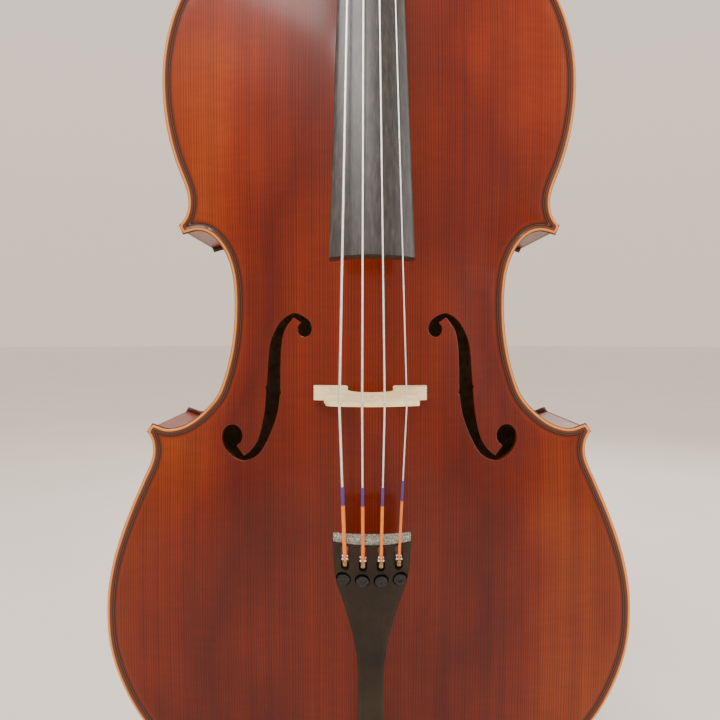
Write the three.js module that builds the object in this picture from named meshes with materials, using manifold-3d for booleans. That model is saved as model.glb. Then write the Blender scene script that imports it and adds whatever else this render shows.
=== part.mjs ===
// Full-size cello, in millimetres.
// Frame: +Z up the instrument, the front faces -Y, +X is the treble side.
// The origin is the centre of the endpin tip's flat bottom; y = 0 is half way through the ribs.

import * as THREE from 'three';
import { mergeVertices } from 'three/addons/utils/BufferGeometryUtils.js';
import Module from 'manifold-3d';

const wasm = await Module();
wasm.setup();

// ---------- driving dimensions ----------

const GAP = 0.3; // left between pieces that touch or are glued
const BODY_BOTTOM = 62;
const BODY_LENGTH = 756;
const BODY_TOP = BODY_BOTTOM + BODY_LENGTH;
const RIB_HALF_HEIGHT = 58; // the plates' glue faces lie at y = -58 and y = +58
const RIB_THICKNESS = 1.6;
const OVERHANG = 4; // of the plates' edges past the ribs
const EDGE_THICKNESS = 4.5;
const PLATE_THICKNESS = 4.6;
const CHANNEL_WIDTH = 9; // flat border before the arching starts
const TOP_ARCH = 24.5;
const BACK_ARCH = 23;
const LINING_THICKNESS = 2.5;
const LINING_HEIGHT = 12;
const BLOCK_REACH = 36; // length of a corner block along its ribs

const NECK_TILT = THREE.MathUtils.degToRad(10.4);
const BOARD_RISE = 37.5; // fingerboard's crown above the front glue plane, at the body's top edge
const NECK_LENGTH = 280; // from the nut to the body's top edge
const BOARD_LENGTH = 584;
const BOARD_NUT_HALF = 15.5;
const BOARD_END_HALF = 30.3;
const BOARD_RADIUS = 60;
const HEEL_HALF = 20.5;
const ROOT_DEPTH = 10; // of the neck root below the body's top edge

const STRINGS = [
  { name: 'c', nutX: -11.5, boardX: -21, bridgeX: -22.3, lift: 8, radius: 0.9, peg: 22 },
  { name: 'g', nutX: -3.8, boardX: -7.3, bridgeX: -7.4, lift: 7.5, radius: 0.75, peg: 78 },
  { name: 'd', nutX: 3.8, boardX: 7.3, bridgeX: 7.4, lift: 7, radius: 0.65, peg: 103 },
  { name: 'a', nutX: 11.5, boardX: 21, bridgeX: 22.3, lift: 5.5, radius: 0.5, peg: 47 },
];
const NUT_HEIGHT = 1.6; // above the fingerboard
const STOP_LENGTH = 400; // from the body's top edge to the bridge
const BRIDGE_FOOT_THICKNESS = 11.4;
const BRIDGE_TOP_THICKNESS = 2.7;

const TAIL_TILT = THREE.MathUtils.degToRad(16.7);
const TAIL_TOP = 498; // upper end of the tailpiece, below the body's top edge
const TAIL_RISE = 88.5; // its height there above the front glue plane
const TAIL_LENGTH = 235;
const TAIL_RADIUS = 75;
const TAIL_SPACING = 12.8; // between the tuner slots
const SLOT = { start: 6, end: 27, half: 2.9 };
const LEVER = { forkAt: 16, pivotAt: 19, pivotDepth: 6.5, half: 2.1, screwAt: 34.5 };
const SCREW_SPACING = 13.6;
const SCREW = { shank: 1.7, head: 4.8, hole: 2.2, recess: 5.4, recessDepth: 5.8 };

const ENDPIN = { rod: 5, rodTop: 468, plug: 12, ferrule: 9.5, ferruleEnd: 34 };

// Right half of the body's outline: distance from the centreline, distance below the top edge,
// and heading in degrees, from +X towards the bottom.
const UPPER_BOUT = [
  [0, 0, 0], [85.5, 15, 20], [155, 82.5, 65], [169, 149, 90], [156, 220, 111], [148.5, 246, 90],
  [156.5, 264.5, 35],
];
const CENTRE_BOUT = [
  [153, 272.5, 196], [140.5, 269.5, 180], [124.5, 278, 130], [111, 330, 90], [123, 398.5, 69],
  [138, 418.5, 42], [166, 431.5, 0], [179.5, 427.5, -10],
];
const LOWER_BOUT = [
  [184, 434.5, 133], [179, 449.5, 90], [187.5, 474.5, 66], [218, 583, 90], [214.5, 620, 104],
  [128.5, 727.5, 155], [0, 756, 180],
];
const UPPER_CORNER = [155, 268.5];
const LOWER_CORNER = [182, 431];

// Treble f-hole, as two runs of points between the sharp tips of its wings.
const F_HOLE_OUTER = [
  [55, 344.7], [57.6, 350.5], [52, 355.8], [46.6, 350], [50.5, 341.8], [60.5, 337.2], [69.8, 341.8],
  [76.7, 351.4], [80.9, 363.3], [82.6, 381.7], [83.8, 400.1], [85.4, 418.6], [89.5, 437.1],
  [95.6, 447.3], [102, 452.6],
];
const F_HOLE_INNER = [
  [108.5, 444.6], [103.7, 436.2], [111.9, 427.8], [120.3, 436.8], [115.5, 449.1], [101.7, 456.4],
  [90.3, 451], [81.7, 437.1], [74.9, 418.6], [72.4, 400.1], [72.2, 381.7], [71.4, 363.3],
  [68.5, 350.5], [61.2, 340.4],
];

// ---------- materials ----------

const finish = (color, roughness, metalness = 0) =>
  new THREE.MeshStandardMaterial({ color, roughness, metalness });
const VARNISH = finish(0x8a3216, 0.25);
const BARE_WOOD = finish(0xd9bb88, 0.7);
const BRIDGE_WOOD = finish(0xe6cc9c, 0.6);
const EBONY = finish(0x1d1917, 0.45);
const COMPOSITE = finish(0x24201c, 0.5);
const STEEL = finish(0xb9babc, 0.3, 1);
const DARK_METAL = finish(0x2a2a2b, 0.4, 1);
const STRING_STEEL = finish(0xd4d4d2, 0.3, 1);
const CORD = finish(0x26252b, 0.8);
const RUBBER = finish(0x151515, 0.9);

// ---------- general helpers ----------

const lerp = THREE.MathUtils.lerp;
const vector = (x, y, z) => new THREE.Vector3(x, y, z);

// Welds a geometry's vertices and turns its triangles outwards.
function closedBody(geometry) {
  geometry.deleteAttribute('normal');
  geometry.deleteAttribute('uv');
  const body = mergeVertices(geometry, 1e-4);
  const at = body.getAttribute('position');
  const index = body.getIndex();
  const corners = [vector(), vector(), vector()];
  let volume = 0;
  for (let i = 0; i < index.count; i += 3) {
    corners.forEach((corner, k) => corner.fromBufferAttribute(at, index.getX(i + k)));
    volume += corners[0].dot(corners[1].clone().cross(corners[2]));
  }
  if (volume < 0) index.array.reverse();
  return body;
}

function meshBody(points, triangles) {
  const geometry = new THREE.BufferGeometry().setFromPoints(points);
  geometry.setIndex(triangles.flat());
  return closedBody(geometry);
}

function solidOf(geometry) {
  const body = closedBody(geometry.clone());
  const mesh = new wasm.Mesh({
    numProp: 3,
    vertProperties: new Float32Array(body.getAttribute('position').array),
    triVerts: new Uint32Array(body.getIndex().array),
  });
  return new wasm.Manifold(mesh);
}

function geometryOf(solid) {
  const mesh = solid.getMesh();
  const geometry = new THREE.BufferGeometry();
  geometry.setAttribute('position', new THREE.BufferAttribute(new Float32Array(mesh.vertProperties), 3));
  geometry.setIndex(new THREE.BufferAttribute(new Uint32Array(mesh.triVerts), 1));
  return geometry;
}

const joined = (...parts) =>
  geometryOf(parts.map(solidOf).reduce((sum, part) => sum.add(part)));
const cut = (body, ...cutters) =>
  geometryOf(cutters.map(solidOf).reduce((rest, cutter) => rest.subtract(cutter), solidOf(body)));

// Triangles over one closed loop, running the way the loop does.
function capTriangles(loop, first) {
  const normal = vector();
  loop.forEach((point, i) => normal.add(point.clone().cross(loop[(i + 1) % loop.length])));
  const sizes = [Math.abs(normal.x), Math.abs(normal.y), Math.abs(normal.z)];
  const drop = sizes.indexOf(Math.max(...sizes));
  const [u, v] = [['y', 'z'], ['x', 'z'], ['x', 'y']][drop];
  const flat = loop.map((point) => new THREE.Vector2(point[u], point[v]));
  const turn = Math.sign(THREE.ShapeUtils.area(flat));
  return THREE.ShapeUtils.triangulateShape(flat, []).map((triangle) => {
    const area = THREE.ShapeUtils.area(triangle.map((i) => flat[i]));
    const ordered = Math.sign(area) === turn ? triangle : [...triangle].reverse();
    return ordered.map((i) => i + first);
  });
}

// A closed body through a row of loops that have the same number of points.
function loft(loops) {
  const count = loops[0].length;
  const triangles = capTriangles(loops[0], 0).map((triangle) => triangle.reverse());
  for (let k = 0; k < loops.length - 1; k += 1) {
    for (let i = 0; i < count; i += 1) {
      const a = k * count + i;
      const b = k * count + ((i + 1) % count);
      triangles.push([a, b, b + count], [a, b + count, a + count]);
    }
  }
  triangles.push(...capTriangles(loops.at(-1), (loops.length - 1) * count));
  return meshBody(loops.flat(), triangles);
}

// A flat outline in x and z, given thickness along y.
function slab(outline, yFront, yBack) {
  const options = { depth: yBack - yFront, bevelEnabled: false, curveSegments: 8 };
  const geometry = new THREE.ExtrudeGeometry(new THREE.Shape(outline), options);
  return closedBody(geometry.rotateX(Math.PI / 2).translate(0, yBack, 0));
}

// A body of revolution about Z from a profile of [radius, z] pairs.
function turned(profile, segments) {
  const points = profile.map(([radius, z]) => new THREE.Vector2(radius, z));
  return closedBody(new THREE.LatheGeometry(points, segments).rotateX(Math.PI / 2));
}

function cylinder(radius, length, segments, radiusAtBottom = radius) {
  return new THREE.CylinderGeometry(radius, radiusAtBottom, length, segments).rotateX(Math.PI / 2);
}

function block(xSize, ySize, zSize, x, y, z) {
  return new THREE.BoxGeometry(xSize, ySize, zSize).translate(x, y, z);
}

// Height of a circular crown's edge below its middle.
const crown = (x, radius) => radius - Math.sqrt(radius * radius - x * x);

// Smooth value through [position, value] pairs.
function profileAt(pairs, position) {
  const last = pairs.length - 1;
  const next = pairs.findIndex(([at]) => at > position);
  if (next <= 0) return next === 0 ? pairs[0][1] : pairs[last][1];
  const [at0, value0] = pairs[next - 1];
  const [at1, value1] = pairs[next];
  const before = pairs[Math.max(next - 2, 0)];
  const after = pairs[Math.min(next + 1, last)];
  const slope0 = (value1 - before[1]) / (at1 - before[0]);
  const slope1 = (after[1] - value0) / (after[0] - at0);
  const span = at1 - at0;
  const t = (position - at0) / span;
  return (
    (2 * t ** 3 - 3 * t ** 2 + 1) * value0 + (t ** 3 - 2 * t ** 2 + t) * span * slope0 +
    (3 * t ** 2 - 2 * t ** 3) * value1 + (t ** 3 - t ** 2) * span * slope1
  );
}

// ---------- body outline ----------

const bodyPoint = ([x, below]) => new THREE.Vector2(x, BODY_TOP - below);

// Evenly spaced points along a row of knots; each span is a cubic curve close to an arc.
function throughKnots(knots, spacing) {
  const path = new THREE.CurvePath();
  for (let i = 0; i < knots.length - 1; i += 1) {
    const [start, end] = [bodyPoint(knots[i]), bodyPoint(knots[i + 1])];
    const headings = [knots[i][2], knots[i + 1][2]].map(THREE.MathUtils.degToRad);
    const turn = headings[1] - headings[0];
    const handle = start.distanceTo(end) / (3 * Math.cos(turn / 4) ** 2);
    const [out, back] = headings.map((angle) => new THREE.Vector2(Math.cos(angle), -Math.sin(angle)));
    const control1 = start.clone().addScaledVector(out, handle);
    const control2 = end.clone().addScaledVector(back, -handle);
    path.add(new THREE.CubicBezierCurve(start, control1, control2, end));
  }
  return path.getSpacedPoints(Math.round(path.getLength() / spacing));
}

const mirrored = (points) => points.map((point) => new THREE.Vector2(-point.x, point.y)).reverse();

// Unit vector into the body at each point of a run down the right-hand side.
function inwardNormals(points) {
  return points.map((point, i) => {
    const before = points[Math.max(i - 1, 0)];
    const after = points[Math.min(i + 1, points.length - 1)];
    const along = after.clone().sub(before).normalize();
    return new THREE.Vector2(along.y, -along.x);
  });
}

const inset = (points, distance) => {
  const normals = inwardNormals(points);
  return points.map((point, i) => point.clone().addScaledVector(normals[i], distance));
};

function distanceToRun(point, run) {
  let nearest = Infinity;
  const closest = new THREE.Vector3();
  const target = vector(point.x, point.y, 0);
  for (let i = 0; i < run.length - 1; i += 1) {
    const segment = new THREE.Line3(vector(run[i].x, run[i].y, 0), vector(run[i + 1].x, run[i + 1].y, 0));
    segment.closestPointToPoint(target, true, closest);
    nearest = Math.min(nearest, closest.distanceTo(target));
  }
  return nearest;
}

const respaced = (points, spacing) => {
  const curve = new THREE.SplineCurve(points);
  return curve.getSpacedPoints(Math.max(2, Math.round(curve.getLength() / spacing)));
};

const FINE = 1.5;
const BOUTS = [UPPER_BOUT, CENTRE_BOUT, LOWER_BOUT].map((knots) => throughKnots(knots, FINE));
const [UPPER, CENTRE, LOWER] = BOUTS;
const CORNERS = [UPPER_CORNER, LOWER_CORNER].map(bodyPoint);

// The part of one bout at a given inset that stays clear of the neighbouring bouts.
function trimmedInset(bout, distance, clearance) {
  const others = BOUTS.filter((other) => other !== bout);
  return inset(bout, distance).filter((point) =>
    CORNERS.every((corner) => point.distanceTo(corner) > 6) &&
    others.every((other) => distanceToRun(point, other) > clearance));
}

// ---------- arching ----------

// Heights of a membrane stretched over the outline, on a square grid over the right-hand half.
const GRID = 6;
const COLUMNS = 38;
const ROWS = Math.ceil(BODY_LENGTH / GRID) + 1;

function isInside(x, z, outline) {
  let inside = false;
  for (let i = 0; i < outline.length; i += 1) {
    const a = outline[i];
    const b = outline[(i + 1) % outline.length];
    const crosses = a.y > z !== b.y > z;
    if (crosses && x < a.x + ((z - a.y) / (b.y - a.y)) * (b.x - a.x)) inside = !inside;
  }
  return inside;
}

function membrane() {
  const side = BOUTS.flatMap((bout) => respaced(bout, 5));
  const outline = [...side, ...mirrored(side)];
  const free = [];
  for (let row = 0; row < ROWS; row += 1) {
    for (let column = 0; column < COLUMNS; column += 1) {
      const point = new THREE.Vector2(column * GRID, BODY_BOTTOM + row * GRID);
      const arched = isInside(point.x, point.y, outline) && distanceToRun(point, side) > CHANNEL_WIDTH;
      if (arched) free.push([row, column]);
    }
  }
  const height = Array.from({ length: ROWS }, () => new Array(COLUMNS + 1).fill(0));
  const RELAXATION = 1.9;
  for (let sweep = 0; sweep < 400; sweep += 1) {
    for (const [row, column] of free) {
      const left = height[row][Math.abs(column - 1)];
      const sum = left + height[row][column + 1] + height[row - 1][column] + height[row + 1][column];
      height[row][column] += RELAXATION * ((sum + 1) / 4 - height[row][column]);
    }
  }
  return height;
}

const MEMBRANE = membrane();

function membraneAt(x, z) {
  const column = Math.min(Math.abs(x) / GRID, COLUMNS - 1.001);
  const row = THREE.MathUtils.clamp((z - BODY_BOTTOM) / GRID, 0, ROWS - 1.001);
  const [c, r] = [Math.floor(column), Math.floor(row)];
  const low = lerp(MEMBRANE[r][c], MEMBRANE[r][c + 1], column - c);
  const high = lerp(MEMBRANE[r + 1][c], MEMBRANE[r + 1][c + 1], column - c);
  return lerp(low, high, row - r);
}

// Height of the outer face above the edge: a long arch times a cross arch that hollows at the edge.
function archHeight(x, z, rise) {
  const centre = membraneAt(0, z);
  if (centre <= 0) return 0;
  const alongBody = (z - BODY_BOTTOM - CHANNEL_WIDTH) / (BODY_LENGTH - 2 * CHANNEL_WIDTH);
  const longArch = Math.max(0, 1 - Math.abs(2 * alongBody - 1) ** 2.6);
  const crossArch = Math.min(1, membraneAt(x, z) / centre) ** 1.5;
  return rise * longArch * crossArch;
}

const outerFace = (x, z, rise) => EDGE_THICKNESS + archHeight(x, z, rise);
const innerFace = (x, z, rise) => Math.max(0, outerFace(x, z, rise) - PLATE_THICKNESS);

// ---------- plates ----------

const OUTLINE_SPACING = 15;
const MESH_COLUMNS = 12;
const MESH_ROWS = 20;
const SUNK = 0.4; // how far the arched faces run below the flat border, so that they cross it cleanly

function plateOutline() {
  const spacing = (bout) => (bout === CENTRE ? OUTLINE_SPACING / 2 : OUTLINE_SPACING);
  const right = BOUTS.flatMap((bout) => respaced(bout, spacing(bout)));
  return [...right, ...mirrored(right).slice(1, -1)];
}

// A solid over the whole body between two faces, given as heights above one glue plane.
function between(side, lowAt, highAt) {
  const half = 224;
  const across = Array.from({ length: MESH_COLUMNS + 1 }, (_, i) => lerp(-half, half, i / MESH_COLUMNS));
  const row = (i) => lerp(BODY_BOTTOM - 2, BODY_TOP + 2, i / MESH_ROWS);
  const along = Array.from({ length: MESH_ROWS + 1 }, (_, i) => row(i));
  const face = (heightAt) => along.flatMap((z) => across.map((x) =>
    vector(x, side * (RIB_HALF_HEIGHT + heightAt(x, z)), z)));
  const points = [...face(highAt), ...face(lowAt)];
  const width = across.length;
  const under = width * along.length;
  const triangles = [];
  const wall = (a, b) => triangles.push([a, b, b + under], [a, b + under, a + under]);
  for (let row = 0; row < MESH_ROWS; row += 1) {
    for (let column = 0; column < MESH_COLUMNS; column += 1) {
      const a = row * width + column;
      const [b, c, d] = [a + 1, a + width + 1, a + width];
      triangles.push([a, c, b], [a, d, c]);
      triangles.push([a, b, c].map((i) => i + under), [a, c, d].map((i) => i + under));
    }
    wall((row + 1) * width, row * width);
    wall(row * width + width - 1, (row + 1) * width + width - 1);
  }
  for (let column = 0; column < MESH_COLUMNS; column += 1) {
    wall(column, column + 1);
    wall(MESH_ROWS * width + column + 1, MESH_ROWS * width + column);
  }
  return meshBody(points, triangles);
}

// An arched plate: side is -1 for the front and +1 for the back.
function archedPlate(side, rise) {
  const faces = [side * RIB_HALF_HEIGHT, side * (RIB_HALF_HEIGHT + EDGE_THICKNESS)];
  const border = slab(plateOutline(), Math.min(...faces), Math.max(...faces));
  const dome = between(side, () => 1, (x, z) => outerFace(x, z, rise) - SUNK);
  const overhanging = slab(plateOutline(), -200, 200);
  const hollow = between(side, () => -5, (x, z) => innerFace(x, z, rise) - SUNK);
  const blank = geometryOf(solidOf(dome).intersect(solidOf(overhanging)));
  return cut(joined(border, blank), hollow);
}

function fHole(side) {
  const toWorld = (run) => run.map(([x, below]) => bodyPoint([side * x, below]));
  const outer = new THREE.SplineCurve(toWorld(F_HOLE_OUTER)).getPoints(22);
  const inner = new THREE.SplineCurve(toWorld(F_HOLE_INNER)).getPoints(21);
  return slab([...outer, ...inner], -RIB_HALF_HEIGHT - 60, -RIB_HALF_HEIGHT + 10);
}

const SADDLE = { half: 19, height: 8, depth: 7.5 };

function topPlate() {
  const front = -RIB_HALF_HEIGHT - EDGE_THICKNESS / 2;
  const rootNotch = block(2 * (HEEL_HALF + 2.5), 20, 2 * (ROOT_DEPTH + GAP), 0, front, BODY_TOP);
  const saddleNotch = block(2 * (SADDLE.half + GAP), 20, 2 * (SADDLE.depth + GAP), 0, front, BODY_BOTTOM);
  return cut(archedPlate(-1, TOP_ARCH), fHole(1), fHole(-1), rootNotch, saddleNotch);
}

function backPlate() {
  const BUTTON_HALF = 15;
  const arc = new THREE.EllipseCurve(0, BODY_TOP + 5, BUTTON_HALF, BUTTON_HALF, 0, Math.PI);
  const outline = [...arc.getPoints(10), ...[[-BUTTON_HALF, 12], [BUTTON_HALF, 12]].map(bodyPoint)];
  const button = slab(outline, RIB_HALF_HEIGHT, RIB_HALF_HEIGHT + EDGE_THICKNESS);
  return joined(archedPlate(1, BACK_ARCH), button);
}

// ---------- ribs, linings and blocks ----------

const LINING_INSET = OVERHANG + RIB_THICKNESS + GAP;
const ROOT_CLEARANCE = HEEL_HALF + 2 * GAP;
const NECK_BLOCK_HALF = 46;
const END_BLOCK_HALF = 37;

function strip(bout, outerInset, thickness, clearance, keep) {
  const spacing = bout === CENTRE ? 8 : 15;
  const outer = trimmedInset(bout, outerInset, clearance[0]).filter(keep);
  const inner = trimmedInset(bout, outerInset + thickness, clearance[1]).filter(keep);
  return [...respaced(outer, spacing), ...respaced(inner, spacing).reverse()];
}

const sided = (outline, side) => (side > 0 ? outline : mirrored(outline));
const ribFaces = [-RIB_HALF_HEIGHT + GAP, RIB_HALF_HEIGHT - GAP];

function rib(bout, side) {
  const own = OVERHANG + RIB_THICKNESS + GAP;
  const clearance = bout === CENTRE ? [OVERHANG, OVERHANG] : [own, own];
  const keep = (point) => {
    if (bout === UPPER) return point.x > ROOT_CLEARANCE;
    return point.x > GAP / 2;
  };
  const outline = strip(bout, OVERHANG, RIB_THICKNESS, clearance, keep);
  const panel = slab(sided(outline, side), ...ribFaces);
  if (bout !== LOWER) return panel;
  return cut(panel, cylinder(ENDPIN.plug + 0.5, 40, 24).translate(0, 0, BODY_BOTTOM + OVERHANG));
}

function lining(bout, side, face) {
  const keep = (point) => {
    const clearOfCorners = CORNERS.every((corner) => point.distanceTo(corner) > BLOCK_REACH + 6);
    const endHalf = point.y > BODY_TOP - 60 ? NECK_BLOCK_HALF : END_BLOCK_HALF;
    return clearOfCorners && point.x > endHalf + 1;
  };
  const outline = strip(bout, LINING_INSET, LINING_THICKNESS, [0, 0], keep);
  const edge = RIB_HALF_HEIGHT - GAP;
  const range = face < 0 ? [-edge, -edge + LINING_HEIGHT] : [edge - LINING_HEIGHT, edge];
  return slab(sided(outline, side), ...range);
}

function cornerBlock(before, after, corner, side) {
  const near = (point) => point.distanceTo(corner) < BLOCK_REACH;
  const clear = (bout) => trimmedInset(bout, LINING_INSET, LINING_INSET).filter(near);
  const outline = [...respaced(clear(before), 7), ...respaced(clear(after), 7)];
  return slab(sided(outline, side), ...ribFaces);
}

function neckBlock() {
  const run = inset(UPPER, LINING_INSET).filter(({ x }) => x > ROOT_CLEARANCE && x < NECK_BLOCK_HALF);
  const edge = respaced(run, 12);
  const notch = bodyPoint([ROOT_CLEARANCE, ROOT_DEPTH + 2 * GAP]);
  const inner = bodyPoint([NECK_BLOCK_HALF, 52]);
  const half = [notch, ...edge, inner];
  return slab([...half, ...mirrored(half)], ...ribFaces);
}

function endBlock() {
  const run = inset(LOWER, LINING_INSET).filter(({ x }) => x > 1 && x < END_BLOCK_HALF);
  const half = [...respaced(run, 12), bodyPoint([0, BODY_LENGTH - LINING_INSET])];
  const inner = bodyPoint([END_BLOCK_HALF, BODY_LENGTH - 46]);
  const outline = [inner, ...half, ...mirrored(half.slice(0, -1)), new THREE.Vector2(-inner.x, inner.y)];
  const bore = cylinder(ENDPIN.plug + 0.5, 120, 24).translate(0, 0, BODY_BOTTOM + 40);
  return cut(slab(outline, ...ribFaces), bore);
}

// ---------- bass bar and sound post ----------

const FIT_UNDER_ARCH = 1.8;

function bassBar() {
  const [xOuter, xInner] = [-36, -25];
  const [start, end] = [95, 665];
  const sections = 14;
  return loft(Array.from({ length: sections + 1 }, (_, i) => {
    const part = i / sections;
    const z = BODY_TOP - lerp(start, end, part);
    const under = Math.min(innerFace(xOuter, z, TOP_ARCH), innerFace(xInner, z, TOP_ARCH)) - FIT_UNDER_ARCH;
    const deep = 7 + 18 * Math.sin(Math.PI * part);
    const [front, back] = [-RIB_HALF_HEIGHT - under, -RIB_HALF_HEIGHT - under + deep];
    const corners = [[xOuter, front], [xInner, front], [xInner, back], [xOuter, back]];
    return corners.map(([x, y]) => vector(x, y, z));
  }));
}

function soundPost() {
  const [x, z] = [30, BODY_TOP - STOP_LENGTH - 17];
  const front = -RIB_HALF_HEIGHT - innerFace(x, z, TOP_ARCH) + FIT_UNDER_ARCH;
  const back = RIB_HALF_HEIGHT + innerFace(x, z, BACK_ARCH) - FIT_UNDER_ARCH;
  const post = new THREE.CylinderGeometry(5.5, 5.5, back - front, 12);
  return closedBody(post.translate(x, (front + back) / 2, z));
}

// ---------- neck, fingerboard and head ----------

const NECK_COS = Math.cos(NECK_TILT);
const NECK_SIN = Math.sin(NECK_TILT);

// x across, depth behind the fingerboard's crown line, along the neck from the body's top edge.
const neckPoint = (x, depth, along) => vector(
  x,
  -RIB_HALF_HEIGHT - BOARD_RISE + depth * NECK_COS + along * NECK_SIN,
  BODY_TOP - depth * NECK_SIN + along * NECK_COS,
);

const boardEnd = NECK_LENGTH - BOARD_LENGTH;
const fromNut = (along) => (NECK_LENGTH - along) / BOARD_LENGTH;
const boardHalf = (along) => lerp(BOARD_NUT_HALF, BOARD_END_HALF, fromNut(along));
const boardUnder = (along) => 9 + 8 * fromNut(along);

function fingerboard() {
  const steps = 8;
  const stations = [NECK_LENGTH - GAP, 150, 20, -5, -35, -120, -210, boardEnd];
  return loft(stations.map((along) => {
    const half = boardHalf(along);
    const across = Array.from({ length: steps + 1 }, (_, i) => lerp(-half, half, i / steps));
    const hollow = THREE.MathUtils.smoothstep(-along, 0, 40) * 7;
    const top = across.map((x) => neckPoint(x, crown(x, BOARD_RADIUS), along));
    const under = across.map((x) => {
      const arch = Math.max(0, 1 - (x / (half - 5)) ** 2);
      return neckPoint(x, boardUnder(along) - hollow * arch, along);
    });
    return [...top, ...under.reverse()];
  }));
}

function nut() {
  const steps = 6;
  const [front, back] = [NECK_LENGTH + GAP, NECK_LENGTH + 5.8];
  const bottom = boardUnder(NECK_LENGTH) - GAP / 2;
  return loft(Array.from({ length: steps + 1 }, (_, i) => {
    const x = lerp(-BOARD_NUT_HALF, BOARD_NUT_HALF, i / steps);
    const top = crown(x, BOARD_RADIUS) - NUT_HEIGHT;
    return [[bottom, front], [top + 0.4, front], [top, front + 2], [top + 2.2, back], [bottom, back]]
      .map(([depth, along]) => neckPoint(x, depth, along));
  }));
}

// Half width, front edge and back of the pegbox, as [place along the neck, value] pairs.
const HEAD_WIDTH = [[284, 15.5], [286.7, 18], [294, 22], [302, 24], [350, 20.5], [398, 16.5], [425, 14]];
const HEAD_FRONT = [[284, 12], [286.4, 12], [286.7, 3.5], [350, 9], [398, 17], [425, 24]];
const HEAD_BACK = [[284, 29], [292, 35], [305, 42], [350, 44], [398, 47], [425, 51]];
const HOLLOW_WIDTH = [[284, 13], [302, 14.5], [350, 11.5], [396, 8]];
const HOLLOW_BACK = [[284, 9.6], [290, 13], [298, 27], [305, 33], [350, 35], [396, 38]];
const VOLUTE = { along: 448, depth: 22 };
const PEG_DEPTH = 15; // of the peg's axis below the pegbox's front edge
const PEG_TAPER = 0.033;
const PEG_RADIUS = 6.9; // where the peg enters the pegbox

function neckShaft() {
  const stations = [-8, 30, 60, 160, 260, 290];
  const total = [[-8, 33], [30, 34], [60, 32.5], [260, 29], [290, 29]];
  const steps = 8;
  return loft(stations.map((along) => {
    const half = boardHalf(along) - 0.2;
    const top = boardUnder(Math.min(along, NECK_LENGTH)) + GAP;
    const deep = profileAt(total, along) - top;
    return Array.from({ length: steps + 1 }, (_, i) => {
      const angle = (Math.PI * i) / steps;
      return neckPoint(-half * Math.cos(angle), top + deep * Math.sin(angle) ** 0.8, along);
    });
  }));
}

// The heel runs from under the fingerboard back to the button.
function heel() {
  const stations = [[-90, 22, 44], [-66, 21.5, 38], [-58.5, 20.5, 32], [-35, 18.5, 24], [0, 16.5, 20],
    [RIB_HALF_HEIGHT - GAP, 14.5, 18.5]];
  const bottom = BODY_TOP - ROOT_DEPTH;
  return loft(stations.map(([y, half, reach]) => {
    const arc = new THREE.EllipseCurve(0, BODY_TOP + reach - 14, half, 14, 0, Math.PI).getPoints(8);
    const over = arc.map((point) => vector(point.x, y, point.y));
    return [vector(half, y, bottom), ...over, vector(-half, y, bottom)];
  }));
}

function headSection(along, half, front, back, round) {
  const corners = [[-half, front], [half, front], [half, back - round], [half - round, back],
    [round - half, back], [-half, back - round]];
  return corners.map(([x, depth]) => neckPoint(x, depth, along));
}

function pegbox() {
  const stations = [284, 286.4, 286.7, 294, 302, 325, 350, 375, 398, 425];
  return loft(stations.map((along) => headSection(
    along, profileAt(HEAD_WIDTH, along), profileAt(HEAD_FRONT, along), profileAt(HEAD_BACK, along), 6)));
}

function pegboxHollow() {
  return loft([284, 290, 298, 305, 350, 396].map((along) => headSection(
    along, profileAt(HOLLOW_WIDTH, along), -12, profileAt(HOLLOW_BACK, along), 3)));
}

// Turns a body made along Z so that it lies across the neck.
function acrossNeck(geometry, x, depth, along) {
  const place = neckPoint(x, depth, along);
  return geometry.rotateY(Math.PI / 2).translate(place.x, place.y, place.z);
}

function volute() {
  const turns = [[31, 13], [22, 21], [12, 29]];
  const half = turns.flatMap(([radius, reach], i) => {
    const inner = i === 0 ? 0 : turns[i - 1][1];
    return i === 0 ? [[radius, reach]] : [[radius, inner], [radius, reach]];
  });
  const rightSide = [...half, [0, turns.at(-1)[1]]];
  const profile = [...rightSide.map(([radius, z]) => [radius, -z]).reverse(), ...rightSide];
  return acrossNeck(turned(profile, 22), 0, VOLUTE.depth, VOLUTE.along);
}

const pegAlong = (string) => NECK_LENGTH + string.peg;
const pegDepth = (string) => profileAt(HEAD_FRONT, pegAlong(string)) + PEG_DEPTH;
const cheekHalf = (string) => profileAt(HEAD_WIDTH, pegAlong(string));
const pegSide = (string) => Math.sign(string.nutX);

function pegHole(string) {
  const half = cheekHalf(string);
  const reach = 2 * half + 10;
  const wide = PEG_RADIUS + GAP + 0.1;
  const narrow = wide - PEG_TAPER * reach;
  const radii = pegSide(string) > 0 ? [wide, narrow] : [narrow, wide];
  const hole = cylinder(radii[0], reach, 12, radii[1]);
  return acrossNeck(hole, 0, pegDepth(string), pegAlong(string));
}

function neck() {
  const boardBed = loft([-60, NECK_LENGTH + 0.1].map((along) => [[-40, -30], [40, -30],
    [40, boardUnder(along) + GAP], [-40, boardUnder(along) + GAP]].map(([x, d]) => neckPoint(x, d, along))));
  const carved = joined(neckShaft(), heel(), pegbox(), volute());
  return cut(carved, boardBed, pegboxHollow(), ...STRINGS.map(pegHole));
}

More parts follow.
